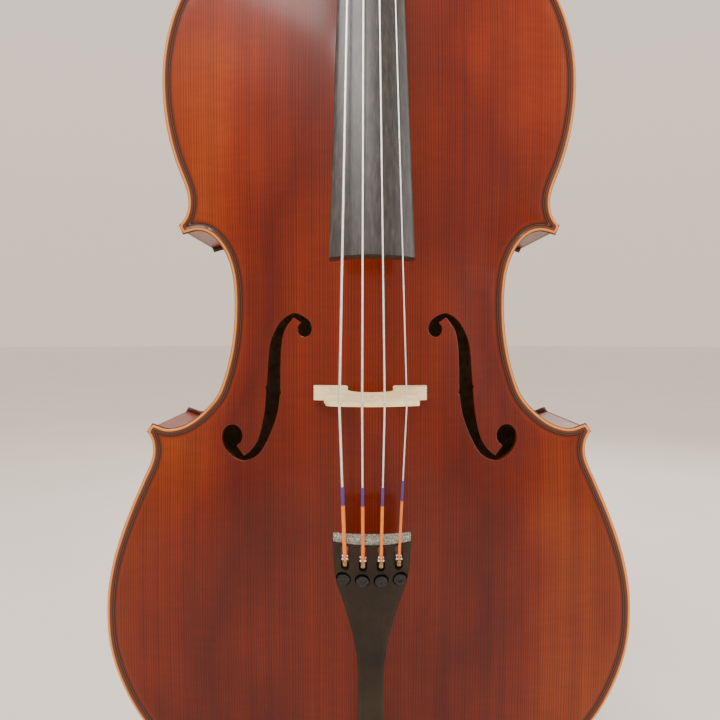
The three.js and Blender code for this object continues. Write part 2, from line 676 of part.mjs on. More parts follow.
// A peg: tapered shaft, collar rings, and a flattened thumb-piece with a pip.
function peg(string) {
  const half = cheekHalf(string);
  const side = pegSide(string);
  const far = -half + 1;
  const taperAt = (x) => PEG_RADIUS - PEG_TAPER * (half + 1 - x);
  const rings = [
    [far, taperAt(far), 1], [half + 1, PEG_RADIUS, 1], [half + 1.4, 8.2, 1], [half + 4.5, 8.6, 1],
    [half + 6, 6.8, 1], [half + 12, 6.2, 1], [half + 18, 12.5, 0.62], [half + 28, 18.5, 0.4],
    [half + 40, 15.5, 0.38], [half + 46, 7.5, 0.55], [half + 48.5, 2.6, 1],
  ];
  const sides = 12;
  const body = loft(rings.map(([x, radius, flat]) => Array.from({ length: sides }, (_, i) => {
    const angle = (2 * Math.PI * i) / sides;
    return vector(side * x, radius * flat * Math.cos(angle), radius * Math.sin(angle));
  })));
  const place = neckPoint(0, pegDepth(string), pegAlong(string));
  return body.translate(place.x, place.y, place.z);
}

// ---------- bridge ----------

const bridgeZ = BODY_TOP - STOP_LENGTH;
const rise = (height) => -RIB_HALF_HEIGHT - height; // y of a height above the front glue plane

// Height of a string's axis above the front glue plane where it crosses the bridge.
function stringAtBridge(string) {
  const nutPoint = stringAtNut(string);
  const overBoard = neckPoint(string.boardX, crown(string.boardX, BOARD_RADIUS) - string.lift, boardEnd);
  const part = (nutPoint.z - bridgeZ) / (nutPoint.z - overBoard.z);
  return vector(string.bridgeX, lerp(nutPoint.y, overBoard.y, part), bridgeZ);
}

function stringAtNut(string) {
  const over = NUT_HEIGHT + string.radius + GAP;
  return neckPoint(string.nutX, crown(string.nutX, BOARD_RADIUS) - over, NECK_LENGTH + 2);
}

function bridge() {
  const footing = (x) => outerFace(x, bridgeZ, TOP_ARCH) + 2 * GAP;
  const base = footing(0);
  const underStrings = STRINGS.map((entry) =>
    [entry.bridgeX, -RIB_HALF_HEIGHT - stringAtBridge(entry).y - entry.radius - 2 * GAP]);
  const corner = 26.5;
  const drop = 1.8;
  const ends = [[-corner, underStrings[0][1] - drop], [corner, underStrings[3][1] - drop]];
  const topLine = [ends[0], ...underStrings, ends[1]];
  // half of the outline, from the crown of the arch between the legs round to the middle of the top
  const arch = [[0, 38], [8, 36.5], [14, 32], [17.5, 25], [17.5, 14], [17.5, 5]];
  const sole = [18.5, 27, 36, 45.5];
  const flank = [[45.5, -1], [44, 3], [36, 7.5], [30.5, 15], [28.5, 27], [30, 38], [35, 45], [35.5, 50],
    [31, 53.5], [22, 55], [18.5, 59], [19.5, 64], [25, 66.5], [30, 67], [31, 71], [29, 77]];
  const half = [
    ...arch.map(([x, height]) => [x, base + height]), ...sole.map((x) => [x, footing(x)]),
    ...flank.map(([x, height]) => [x, base + height]),
  ];
  const top = Array.from({ length: 9 }, (_, i) => lerp(corner, -corner, i / 8))
    .map((x) => [x, profileAt(topLine, x)]);
  const outline = [...half, ...top, ...half.slice(1).reverse().map(([x, height]) => [-x, height])];
  const shape = new THREE.Shape(outline.map(([x, height]) => new THREE.Vector2(x, height)));
  const heart = new THREE.Path().absellipse(0, base + 60, 6.5, 7.5, 0, 2 * Math.PI);
  shape.holes.push(heart);
  const geometry = new THREE.ExtrudeGeometry(shape, { depth: 1, bevelEnabled: false, curveSegments: 8 });
  const at = geometry.getAttribute('position');
  const full = underStrings[1][1] - base;
  for (let i = 0; i < at.count; i += 1) {
    const height = at.getY(i);
    const part = THREE.MathUtils.clamp((height - base) / full, 0, 1);
    const thickness = lerp(BRIDGE_FOOT_THICKNESS, BRIDGE_TOP_THICKNESS, part);
    at.setXYZ(i, at.getX(i), rise(height), bridgeZ + (at.getZ(i) - 0.5) * thickness);
  }
  return closedBody(geometry);
}

// ---------- tailpiece and tuners ----------

const TAIL_COS = Math.cos(TAIL_TILT);
const TAIL_SIN = Math.sin(TAIL_TILT);

// x across, depth below the tailpiece's crown line, along it from its upper end.
const tailPoint = (x, depth, along) => vector(
  x,
  rise(TAIL_RISE) + depth * TAIL_COS + along * TAIL_SIN,
  BODY_TOP - TAIL_TOP + depth * TAIL_SIN - along * TAIL_COS,
);

const TAIL_WIDTH = [[0, 28.4], [20, 27.6], [38, 25.9], [58, 20], [82, 14], [103, 10.9], [117, 10],
  [190, 10], [225, 11.5], [235, 10.5]];
const TAIL_THICKNESS = [[0, 6.5], [12, 9.5], [50, 9.5], [110, 8.5], [235, 8.5]];
const tailCrown = (x) => crown(x, TAIL_RADIUS);

// Turns a body whose +Z points along the tailpiece and whose +Y points down into it.
function onTailpiece(geometry, x, depth, along) {
  const place = tailPoint(x, depth, along);
  return geometry.rotateX(Math.PI + TAIL_TILT).translate(place.x, place.y, place.z);
}

const slotX = (i) => (i - 1.5) * TAIL_SPACING;
const screwX = (i) => (i - 1.5) * SCREW_SPACING;

function tailLoop(along, half, topOf, underOf) {
  const steps = 8;
  const across = Array.from({ length: steps + 1 }, (_, i) => lerp(-half, half, i / steps));
  const top = across.map((x) => tailPoint(x, topOf(x), along));
  const under = across.map((x) => tailPoint(x, underOf(x), along)).reverse();
  return [...top, ...under];
}

function tailpiece() {
  const stations = [0, 5, 38, 48, 58, 70, 82, 103, 117, 235];
  const body = loft(stations.map((along) => {
    const half = profileAt(TAIL_WIDTH, along);
    const thickness = profileAt(TAIL_THICKNESS, along);
    const bevel = along === 0 ? 2.2 : 0;
    const top = (x) => tailCrown(x) + bevel;
    return tailLoop(along, half, top, (x) => tailCrown(x) + thickness * (1 - 0.45 * (x / half) ** 2));
  }));
  const cutters = STRINGS.flatMap((_, i) => {
    const [x, sx] = [slotX(i), screwX(i)];
    const slotLength = SLOT.end - SLOT.start;
    const slot = onTailpiece(new THREE.BoxGeometry(2 * SLOT.half, 40, slotLength), x, 5,
      (SLOT.start + SLOT.end) / 2);
    const hole = onTailpiece(new THREE.CylinderGeometry(SCREW.hole, SCREW.hole, 40, 10), sx, 5, LEVER.screwAt);
    const recess = onTailpiece(new THREE.CylinderGeometry(SCREW.recess, SCREW.recess, 30, 12), sx,
      tailCrown(sx) + SCREW.recessDepth - 15, LEVER.screwAt);
    return [slot, hole, recess];
  });
  return cut(body, ...cutters);
}

// A fork that holds the string's end, on an arm that the tuner screw pushes down.
function tunerLever(i) {
  const [x, sx] = [slotX(i), screwX(i)];
  const lower = tailCrown(x);
  const forkTop = lower - 3;
  const armTop = lower + 11.6;
  const { half, forkAt, pivotAt, screwAt } = LEVER;
  const upright = onTailpiece(
    new THREE.BoxGeometry(2 * half, armTop + 3 - forkTop, 4), x, (armTop + 3 + forkTop) / 2, forkAt);
  const arm = onTailpiece(new THREE.BoxGeometry(2 * half, 3, screwAt + 3 - forkAt + 2), x,
    armTop + 1.5, (screwAt + 3 + forkAt - 2) / 2);
  const pad = onTailpiece(new THREE.BoxGeometry(6, 3, 7), sx, armTop + 1.5, screwAt);
  const knuckle = onTailpiece(new THREE.CylinderGeometry(2.4, 2.4, 2 * half, 12).rotateZ(Math.PI / 2),
    x, lower + LEVER.pivotDepth, pivotAt);
  const mouth = onTailpiece(new THREE.BoxGeometry(2.4, 5, 12), x, forkTop + 1, forkAt);
  return cut(joined(upright, arm, pad, knuckle), mouth);
}

function tunerShank(i) {
  const x = screwX(i);
  const top = tailCrown(x) + 2.9;
  const bottom = tailCrown(slotX(i)) + 11.6 - GAP;
  return onTailpiece(new THREE.CylinderGeometry(SCREW.shank, SCREW.shank, bottom - top, 10), x,
    (top + bottom) / 2, LEVER.screwAt);
}

function tunerHead(i) {
  const x = screwX(i);
  const [top, bottom] = [tailCrown(x) - 1.8, tailCrown(x) + 2.6];
  return onTailpiece(new THREE.CylinderGeometry(SCREW.head, SCREW.head, bottom - top, 12), x,
    (top + bottom) / 2, LEVER.screwAt);
}

// ---------- strings, tailgut and saddle ----------

// A round tube with flat ends through points that lie near a plane of constant x.
function cord(points, radius, sides) {
  return loft(points.map((point, i) => {
    const before = points[Math.max(i - 1, 0)];
    const after = points[Math.min(i + 1, points.length - 1)];
    const along = after.clone().sub(before).normalize();
    const across = vector(1, 0, 0).addScaledVector(along, -along.x).normalize();
    const up = along.clone().cross(across);
    return Array.from({ length: sides }, (_, k) => {
      const angle = (2 * Math.PI * (k + 0.5)) / sides;
      return point.clone().addScaledVector(across, radius * Math.cos(angle))
        .addScaledVector(up, radius * Math.sin(angle));
    });
  }));
}

// Where the string leaves the nut for its peg, touching the front of the peg's shaft.
function stringAtPeg(string) {
  const half = cheekHalf(string);
  const x = string.nutX * 0.62;
  const across = pegSide(string) * x;
  const shaft = PEG_RADIUS - PEG_TAPER * (half - across);
  return neckPoint(x, pegDepth(string) - shaft - string.radius - 2 * GAP, pegAlong(string));
}

function string(entry, i) {
  const atFork = tailPoint(slotX(i), tailCrown(slotX(i)) - 1.5, LEVER.forkAt + 1.2);
  const atBridge = stringAtBridge(entry);
  const overNut = stringAtNut(entry);
  const behindNut = neckPoint(
    entry.nutX, crown(entry.nutX, BOARD_RADIUS) - entry.radius - GAP, NECK_LENGTH + 7);
  const bend = 1.5;
  const nearBridge = [atFork, overNut].map((end) =>
    atBridge.clone().addScaledVector(end.clone().sub(atBridge).normalize(), bend));
  nearBridge.forEach((point) => point.setY(point.y + 0.1));
  const points = [atFork, nearBridge[0], atBridge, nearBridge[1], overNut, behindNut, stringAtPeg(entry)];
  return cord(points, entry.radius, 8);
}

function saddle() {
  const front = rise(EDGE_THICKNESS + SADDLE.height);
  const back = rise(GAP);
  const [low, high] = [BODY_BOTTOM + 0.6, BODY_BOTTOM + SADDLE.depth];
  const section = [[back, low], [front + 3, low], [front + 1, low + 0.8], [front, low + 2.4],
    [front + 0.6, high - 1.6], [front + 3, high], [back, high]];
  return loft([-SADDLE.half, -SADDLE.half + 3, SADDLE.half - 3, SADDLE.half].map((x, i) => {
    const lowered = i === 0 || i === 3 ? 4 : 0;
    return section.map(([y, z]) => vector(x, Math.min(y + lowered, back), z));
  }));
}

// Two strands from the tailpiece over the saddle and round the endpin's collar.
function tailgut() {
  const radius = 1.3;
  const end = tailPoint(6, tailCrown(6) + 4, TAIL_LENGTH + 1);
  const overSaddle = rise(EDGE_THICKNESS + SADDLE.height) - radius - 2 * GAP;
  const loop = ENDPIN.plug - 1.5 + radius + GAP;
  const under = BODY_BOTTOM - 0.9;
  const half = [
    end, vector(7, lerp(end.y, overSaddle, 0.7), lerp(end.z, BODY_BOTTOM + 6, 0.7)),
    vector(7.5, overSaddle, BODY_BOTTOM + 3), vector(8, overSaddle + 2, BODY_BOTTOM - 1.6),
    vector(8.5, overSaddle + 8, under - 1.6), vector(9.5, -50, under - 0.9), vector(11, -26, under),
    vector(loop, 0, under), vector(loop * 0.71, loop * 0.71, under),
  ];
  const other = half.map((point) => vector(-point.x, point.y, point.z)).reverse();
  const stations = [...half, vector(0, loop, under), ...other];
  const route = new THREE.CatmullRomCurve3(stations, false, 'centripetal');
  const section = new THREE.Shape().absarc(0, 0, radius, 0, 2 * Math.PI);
  const options = { steps: 44, extrudePath: route, curveSegments: 4 };
  return closedBody(new THREE.ExtrudeGeometry(section, options));
}

// ---------- endpin ----------

function endpinCollar() {
  const bore = ENDPIN.rod + 0.35;
  const { plug, ferrule, ferruleEnd } = ENDPIN;
  const profile = [
    [bore, 112], [plug - 0.8, 112], [plug, 66], [plug - 1.5, 64], [plug - 1.5, 59.5], [15.5, 58.5],
    [16, 56.5], [15, 53], [ferrule, 51.5], [ferrule, ferruleEnd + 1], [ferrule - 1, ferruleEnd],
    [bore, ferruleEnd], [bore, 112],
  ];
  const screwHole = cylinder(2.7, 12, 12).rotateY(Math.PI / 2).translate(9, 0, 43);
  return cut(turned(profile, 18), screwHole);
}

function endpinRod() {
  const { rod, rodTop } = ENDPIN;
  return turned([[0, 8.4], [rod, 8.4], [rod, rodTop - 1.5], [rod - 1.5, rodTop], [0, rodTop]], 16);
}

function endpinTip() {
  const bore = ENDPIN.rod + GAP;
  return turned([[0, 0], [7, 0], [10, 3], [10.5, 14], [8.5, 24], [bore, 24], [bore, 8], [0, 8]], 20);
}

function endpinThumbscrew() {
  const profile = [[0, 5.4], [2.3, 5.4], [2.3, 11], [7.5, 11.6], [7.5, 18.4], [6.5, 19.4], [0, 19.4]];
  return turned(profile, 16).rotateY(Math.PI / 2).translate(0, 0, 43);
}

// ---------- assembly ----------

const cello = new THREE.Group();

function add(name, geometry, material) {
  const mesh = new THREE.Mesh(closedBody(geometry), material);
  mesh.name = name;
  cello.add(mesh);
}

const SIDES = [['bass', -1], ['treble', 1]];
const BOUT_NAMES = [['upper', UPPER], ['centre', CENTRE], ['lower', LOWER]];

add('top_plate', topPlate(), VARNISH);
add('back_plate', backPlate(), VARNISH);
for (const [sideName, side] of SIDES) {
  for (const [boutName, bout] of BOUT_NAMES) {
    add(`rib_${boutName}_${sideName}`, rib(bout, side), VARNISH);
    add(`lining_front_${boutName}_${sideName}`, lining(bout, side, -1), BARE_WOOD);
    add(`lining_back_${boutName}_${sideName}`, lining(bout, side, 1), BARE_WOOD);
  }
  add(`corner_block_upper_${sideName}`, cornerBlock(UPPER, CENTRE, CORNERS[0], side), BARE_WOOD);
  add(`corner_block_lower_${sideName}`, cornerBlock(CENTRE, LOWER, CORNERS[1], side), BARE_WOOD);
}
add('neck_block', neckBlock(), BARE_WOOD);
add('end_block', endBlock(), BARE_WOOD);
add('bass_bar', bassBar(), BARE_WOOD);
add('sound_post', soundPost(), BARE_WOOD);
add('neck', neck(), VARNISH);
add('fingerboard', fingerboard(), EBONY);
add('nut', nut(), EBONY);
add('bridge', bridge(), BRIDGE_WOOD);
add('tailpiece', tailpiece(), COMPOSITE);
STRINGS.forEach((entry, i) => {
  add(`string_${entry.name}`, string(entry, i), STRING_STEEL);
  add(`peg_${entry.name}`, peg(entry), EBONY);
  add(`tuner_lever_${entry.name}`, tunerLever(i), STEEL);
  add(`tuner_shank_${entry.name}`, tunerShank(i), STEEL);
  add(`tuner_head_${entry.name}`, tunerHead(i), DARK_METAL);
});
add('saddle', saddle(), EBONY);
add('tailgut', tailgut(), CORD);
add('endpin_collar', endpinCollar(), EBONY);
add('endpin_rod', endpinRod(), STEEL);
add('endpin_tip', endpinTip(), RUBBER);
add('endpin_thumbscrew', endpinThumbscrew(), DARK_METAL);

export default cello;
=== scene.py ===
import math

import bmesh
import bpy
import numpy as np
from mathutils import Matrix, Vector
from mathutils.geometry import delaunay_2d_cdt


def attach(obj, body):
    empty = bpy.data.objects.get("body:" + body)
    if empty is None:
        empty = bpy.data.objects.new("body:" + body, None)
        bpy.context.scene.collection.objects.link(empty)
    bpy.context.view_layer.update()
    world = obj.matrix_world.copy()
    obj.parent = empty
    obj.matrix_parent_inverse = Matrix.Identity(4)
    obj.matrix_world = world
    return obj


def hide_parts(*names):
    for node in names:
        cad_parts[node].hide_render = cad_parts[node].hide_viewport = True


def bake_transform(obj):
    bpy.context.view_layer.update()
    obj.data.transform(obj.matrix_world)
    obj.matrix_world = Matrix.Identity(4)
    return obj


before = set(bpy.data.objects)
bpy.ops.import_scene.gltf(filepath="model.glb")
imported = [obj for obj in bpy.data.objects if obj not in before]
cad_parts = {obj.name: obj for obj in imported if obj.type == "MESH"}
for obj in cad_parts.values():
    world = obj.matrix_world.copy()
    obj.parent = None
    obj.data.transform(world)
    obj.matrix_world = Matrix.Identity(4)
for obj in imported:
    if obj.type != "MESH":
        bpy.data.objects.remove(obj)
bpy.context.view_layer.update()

# Lengths are in millimetres until a mesh is made. +Z is up the instrument, the front faces -Y and
# +X is the treble side.

# ---------- driving dimensions ----------

MM = 0.001
GAP = 0.3
BODY_BOTTOM = 62.0
BODY_LENGTH = 756.0
BODY_TOP = BODY_BOTTOM + BODY_LENGTH
RIB_HALF_HEIGHT = 58.0
RIB_THICKNESS = 1.6
OVERHANG = 4.0
EDGE_THICKNESS = 4.5
PLATE_THICKNESS = 4.6
CHANNEL_WIDTH = 9.0
TOP_ARCH = 24.5
BACK_ARCH = 23.0

NECK_TILT = math.radians(10.4)
BOARD_RISE = 37.5
NECK_LENGTH = 280.0
BOARD_LENGTH = 584.0
BOARD_RADIUS = 60.0
BOARD_END = NECK_LENGTH - BOARD_LENGTH
ROOT_DEPTH = 10.0
ROOT_HALF = 23.0
NOTCH_REACH = 30.0
BUTTON_RADIUS = 15.0
BUTTON_RISE = 5.0
STOP_LENGTH = 400.0
NUT_HEIGHT = 1.6

TAIL_TILT = math.radians(16.7)
TAIL_TOP = 498.0
TAIL_RISE = 88.5
TAIL_LENGTH = 235.0
TAIL_RADIUS = 75.0
SLOT_SPACING = 12.8
SLOT_START, SLOT_END, SLOT_HALF = 6.0, 27.0, 2.9
SCREW_SPACING = 13.6
SCREW_AT, SCREW_HOLE, SCREW_RECESS, RECESS_DEPTH = 34.5, 2.2, 5.4, 5.8
FORK_AT, PIVOT_AT, PIVOT_DEPTH, LEVER_HALF = 16.0, 19.0, 6.5, 2.1
ARM_DEPTH = 11.6
SADDLE_HALF, SADDLE_HEIGHT, SADDLE_DEPTH = 19.0, 8.0, 7.5

STRINGS = [
    dict(name="c", nut=-11.5, board=-21.0, bridge=-22.3, lift=8.0, radius=0.9, peg=22.0),
    dict(name="g", nut=-3.8, board=-7.3, bridge=-7.4, lift=7.5, radius=0.75, peg=78.0),
    dict(name="d", nut=3.8, board=7.3, bridge=7.4, lift=7.0, radius=0.65, peg=103.0),
    dict(name="a", nut=11.5, board=21.0, bridge=22.3, lift=5.5, radius=0.5, peg=47.0),
]

# Right half of the outline: distance from the centreline, distance below the top edge, heading.
UPPER_BOUT = [
    (0, 0, 0), (85.5, 15, 20), (155, 82.5, 65), (169, 149, 90), (156, 220, 111), (148.5, 246, 90),
    (156.5, 264.5, 35),
]
CENTRE_BOUT = [
    (153, 272.5, 196), (140.5, 269.5, 180), (124.5, 278, 130), (111, 330, 90), (123, 398.5, 69),
    (138, 418.5, 42), (166, 431.5, 0), (179.5, 427.5, -10),
]
LOWER_BOUT = [
    (184, 434.5, 133), (179, 449.5, 90), (187.5, 474.5, 66), (218, 583, 90), (214.5, 620, 104),
    (128.5, 727.5, 155), (0, 756, 180),
]
# Treble f-hole, as two runs between the sharp tips of its wings.
F_HOLE_OUTER = [
    (55, 344.7), (57.4, 347.6), (57.5, 351.6), (55.6, 354.9), (52, 356.1), (48.3, 354.5), (46.5, 350.6),
    (47.4, 345.4), (51.2, 341), (60.5, 337.2), (69.8, 341.8),
    (76.7, 351.4), (80.9, 363.3), (82.6, 381.7), (83.8, 400.1), (85.4, 418.6), (89.5, 437.1),
    (95.6, 447.3), (102, 452.6),
]
F_HOLE_INNER = [
    (108.5, 444.6), (104.7, 441.2), (103.7, 436.2), (105.7, 431), (110.6, 428), (116.4, 429.1),
    (120.2, 434.1), (120.5, 441), (117, 448.2), (110.4, 453.8), (101.7, 456.4),
    (90.3, 451), (81.7, 437.1), (74.9, 418.6), (72.4, 400.1), (72.2, 381.7), (71.4, 363.3),
    (68.5, 350.5), (61.2, 340.4),
]


# ---------- numbers and curves ----------

def mix(a, b, part):
    return a + (b - a) * part


def crown(x, radius):
    return radius - np.sqrt(radius * radius - np.square(x))


def spline(points, count):
    """That many points for each span of a smooth curve through the given ones."""
    control = np.array(points, float)
    padded = np.vstack([2 * control[0] - control[1], control, 2 * control[-1] - control[-2]])
    made = []
    for i in range(len(control) - 1):
        before, start, end, after = padded[i:i + 4]
        for t in np.arange(count) / count:
            made.append(0.5 * (2 * start + (end - before) * t
                               + (2 * before - 5 * start + 4 * end - after) * t ** 2
                               + (3 * start - before - 3 * end + after) * t ** 3))
    made.append(control[-1])
    return np.array(made)


def respaced(points, spacing):
    points = np.array(points, float)
    steps = np.linalg.norm(np.diff(points, axis=0), axis=1)
    along = np.concatenate([[0], np.cumsum(steps)])
    places = np.linspace(0, along[-1], max(2, int(round(along[-1] / spacing)) + 1))
    return np.column_stack([np.interp(places, along, column) for column in points.T])


def profile(pairs, place):
    """Smooth value through (position, value) pairs."""
    at = [pair[0] for pair in pairs]
    if place <= at[0]:
        return pairs[0][1]
    if place >= at[-1]:
        return pairs[-1][1]
    i = max(k for k in range(len(at) - 1) if at[k] <= place)
    (at0, low), (at1, high) = pairs[i], pairs[i + 1]
    before, after = pairs[max(i - 1, 0)], pairs[min(i + 2, len(pairs) - 1)]
    slope0 = (high - before[1]) / (at1 - before[0])
    slope1 = (after[1] - low) / (after[0] - at0)
    span = at1 - at0
    t = (place - at0) / span
    return ((2 * t ** 3 - 3 * t ** 2 + 1) * low + (t ** 3 - 2 * t ** 2 + t) * span * slope0
            + (3 * t ** 2 - 2 * t ** 3) * high + (t ** 3 - t ** 2) * span * slope1)


def mirrored(points):
    return (np.array(points, float) * [-1, 1])[::-1]


def inward(points):
    """Unit normals into the body along a run down its right-hand side."""
    along = np.gradient(points, axis=0)
    along /= np.linalg.norm(along, axis=1)[:, None]
    return np.column_stack([along[:, 1], -along[:, 0]])


def distance_to(points, run, closed=False):
    """Distance from each point to a run of straight segments."""
    run = np.array(run, float)
    start, end = (run, np.roll(run, -1, axis=0)) if closed else (run[:-1], run[1:])
    step = end - start
    length = np.maximum((step ** 2).sum(1), 1e-12)
    nearest = np.empty(len(points))
    for first in range(0, len(points), 2000):
        some = points[first:first + 2000, None, :]
        part = np.clip(((some - start) * step).sum(2) / length, 0, 1)
        gap = some - (start + part[..., None] * step)
        nearest[first:first + 2000] = np.sqrt((gap ** 2).sum(2).min(1))
    return nearest


def inside(points, loop):
    loop = np.array(loop, float)
    after = np.roll(loop, -1, axis=0)
    found = np.zeros(len(points), bool)
    rise = after[:, 1] - loop[:, 1]
    slope = (after[:, 0] - loop[:, 0]) / np.where(rise == 0, 1e-12, rise)
    for first in range(0, len(points), 4000):
        some = points[first:first + 4000]
        x, z = some[:, :1], some[:, 1:]
        crosses = (loop[:, 1] > z) != (after[:, 1] > z)
        found[first:first + 4000] = (crosses & (x < loop[:, 0] + (z - loop[:, 1]) * slope)).sum(1) % 2
    return found


# ---------- body outline and arching ----------

def body_point(x, below):
    return np.array([x, BODY_TOP - below], float)


def through_knots(knots, spacing):
    run = []
    for (x0, below0, heading0), (x1, below1, heading1) in zip(knots, knots[1:]):
        start, end = body_point(x0, below0), body_point(x1, below1)
        angles = np.radians([heading0, heading1])
        handle = np.linalg.norm(end - start) / (3 * math.cos((angles[1] - angles[0]) / 4) ** 2)
        out = handle * np.array([math.cos(angles[0]), -math.sin(angles[0])])
        back = handle * np.array([math.cos(angles[1]), -math.sin(angles[1])])
        t = np.linspace(0, 1, 60)[:, None]
        run.append((1 - t) ** 3 * start + 3 * (1 - t) ** 2 * t * (start + out)
                   + 3 * (1 - t) * t ** 2 * (end - back) + t ** 3 * end)
    return respaced(np.vstack(run), spacing)


OUTLINE_SPACING = 2.5
UPPER, CENTRE, LOWER = (through_knots(knots, OUTLINE_SPACING)
                        for knots in (UPPER_BOUT, CENTRE_BOUT, LOWER_BOUT))
CORNER_ENDS = [np.array([UPPER[-1], CENTRE[0]]), np.array([CENTRE[-1], LOWER[0]])]
RIGHT = np.vstack([UPPER, CENTRE, LOWER])
OUTLINE = np.vstack([RIGHT, mirrored(RIGHT)[1:-1]])

CELL = 3.0
COLUMNS = 76
SKIN_ROUNDS = 1400
OVER_RELAXATION = 1.9
ROWS = int(BODY_LENGTH / CELL) + 1


def membrane():
    """Heights of a stretched skin over the outline, on a square grid over its right half."""
    column, row = np.meshgrid(np.arange(COLUMNS), np.arange(ROWS))
    points = np.column_stack([column.ravel() * CELL, BODY_BOTTOM + row.ravel() * CELL])
    free = inside(points, OUTLINE) & (distance_to(points, RIGHT) > CHANNEL_WIDTH)
    free = free.reshape(ROWS, COLUMNS)
    height = np.zeros((ROWS + 2, COLUMNS + 2))
    parity = (column + row) % 2
    for _ in range(SKIN_ROUNDS):
        for colour in (0, 1):
            height[:, 0] = height[:, 2]
            around = (height[1:-1, :-2] + height[1:-1, 2:] + height[:-2, 1:-1] + height[2:, 1:-1])
            change = OVER_RELAXATION * ((around + 1) / 4 - height[1:-1, 1:-1])
            height[1:-1, 1:-1] += np.where(free & (parity == colour), change, 0)
    return height[1:-1, 1:-1]


MEMBRANE = membrane()


def membrane_at(x, z):
    """Smooth value between the grid's points."""
    across = np.clip(np.abs(x) / CELL, 0, COLUMNS - 3.001)
    up = np.clip((z - BODY_BOTTOM) / CELL, 1, ROWS - 3.001)
    column, row = np.floor(across).astype(int), np.floor(up).astype(int)
    t, s = across - column, up - row

    def weights(v):
        return [0.5 * (-v + 2 * v ** 2 - v ** 3), 0.5 * (2 - 5 * v ** 2 + 3 * v ** 3),
                0.5 * (v + 4 * v ** 2 - 3 * v ** 3), 0.5 * (v ** 3 - v ** 2)]

    total = 0
    for j, down in enumerate(weights(s)):
        for i, side in enumerate(weights(t)):
            total = total + down * side * MEMBRANE[row + j - 1, np.abs(column + i - 1)]
    return np.maximum(total, 0)


def arch(x, z, rise):
    centre = np.maximum(membrane_at(np.zeros_like(x), z), 1e-6)
    part = (z - BODY_BOTTOM - CHANNEL_WIDTH) / (BODY_LENGTH - 2 * CHANNEL_WIDTH)
    long_arch = np.maximum(0, 1 - np.abs(2 * part - 1) ** 2.6)
    return rise * long_arch * np.minimum(1, membrane_at(x, z) / centre) ** 1.5


# Height of the rounded edge and the channel inside it, by distance from the outline.
EDGE_AT = [0, 0.25, 0.8, 1.6, 2.4, 3.2, 4.2, 5.4, 6.5, 8, 10, 13, 16]
EDGE_HEIGHT = [2.4, 3.3, 4.1, 4.5, 4.5, 4.3, 3.95, 3.65, 3.55, 3.65, 4.0, 4.4, 4.5]
UNDER_AT = [0, 0.25, 0.8, 1.6]
UNDER_HEIGHT = [1.9, 0.8, 0.2, 0]
CONTOURS = [0.25, 0.8, 1.6, 2.4, 3.2, 3.8, 4.2, 4.8, 5.4, 6.5, 8, 10, 12.5]
HOLE_CONTOURS = [0.4, 0.8, 1.6, 2.8]


# ---------- materials ----------

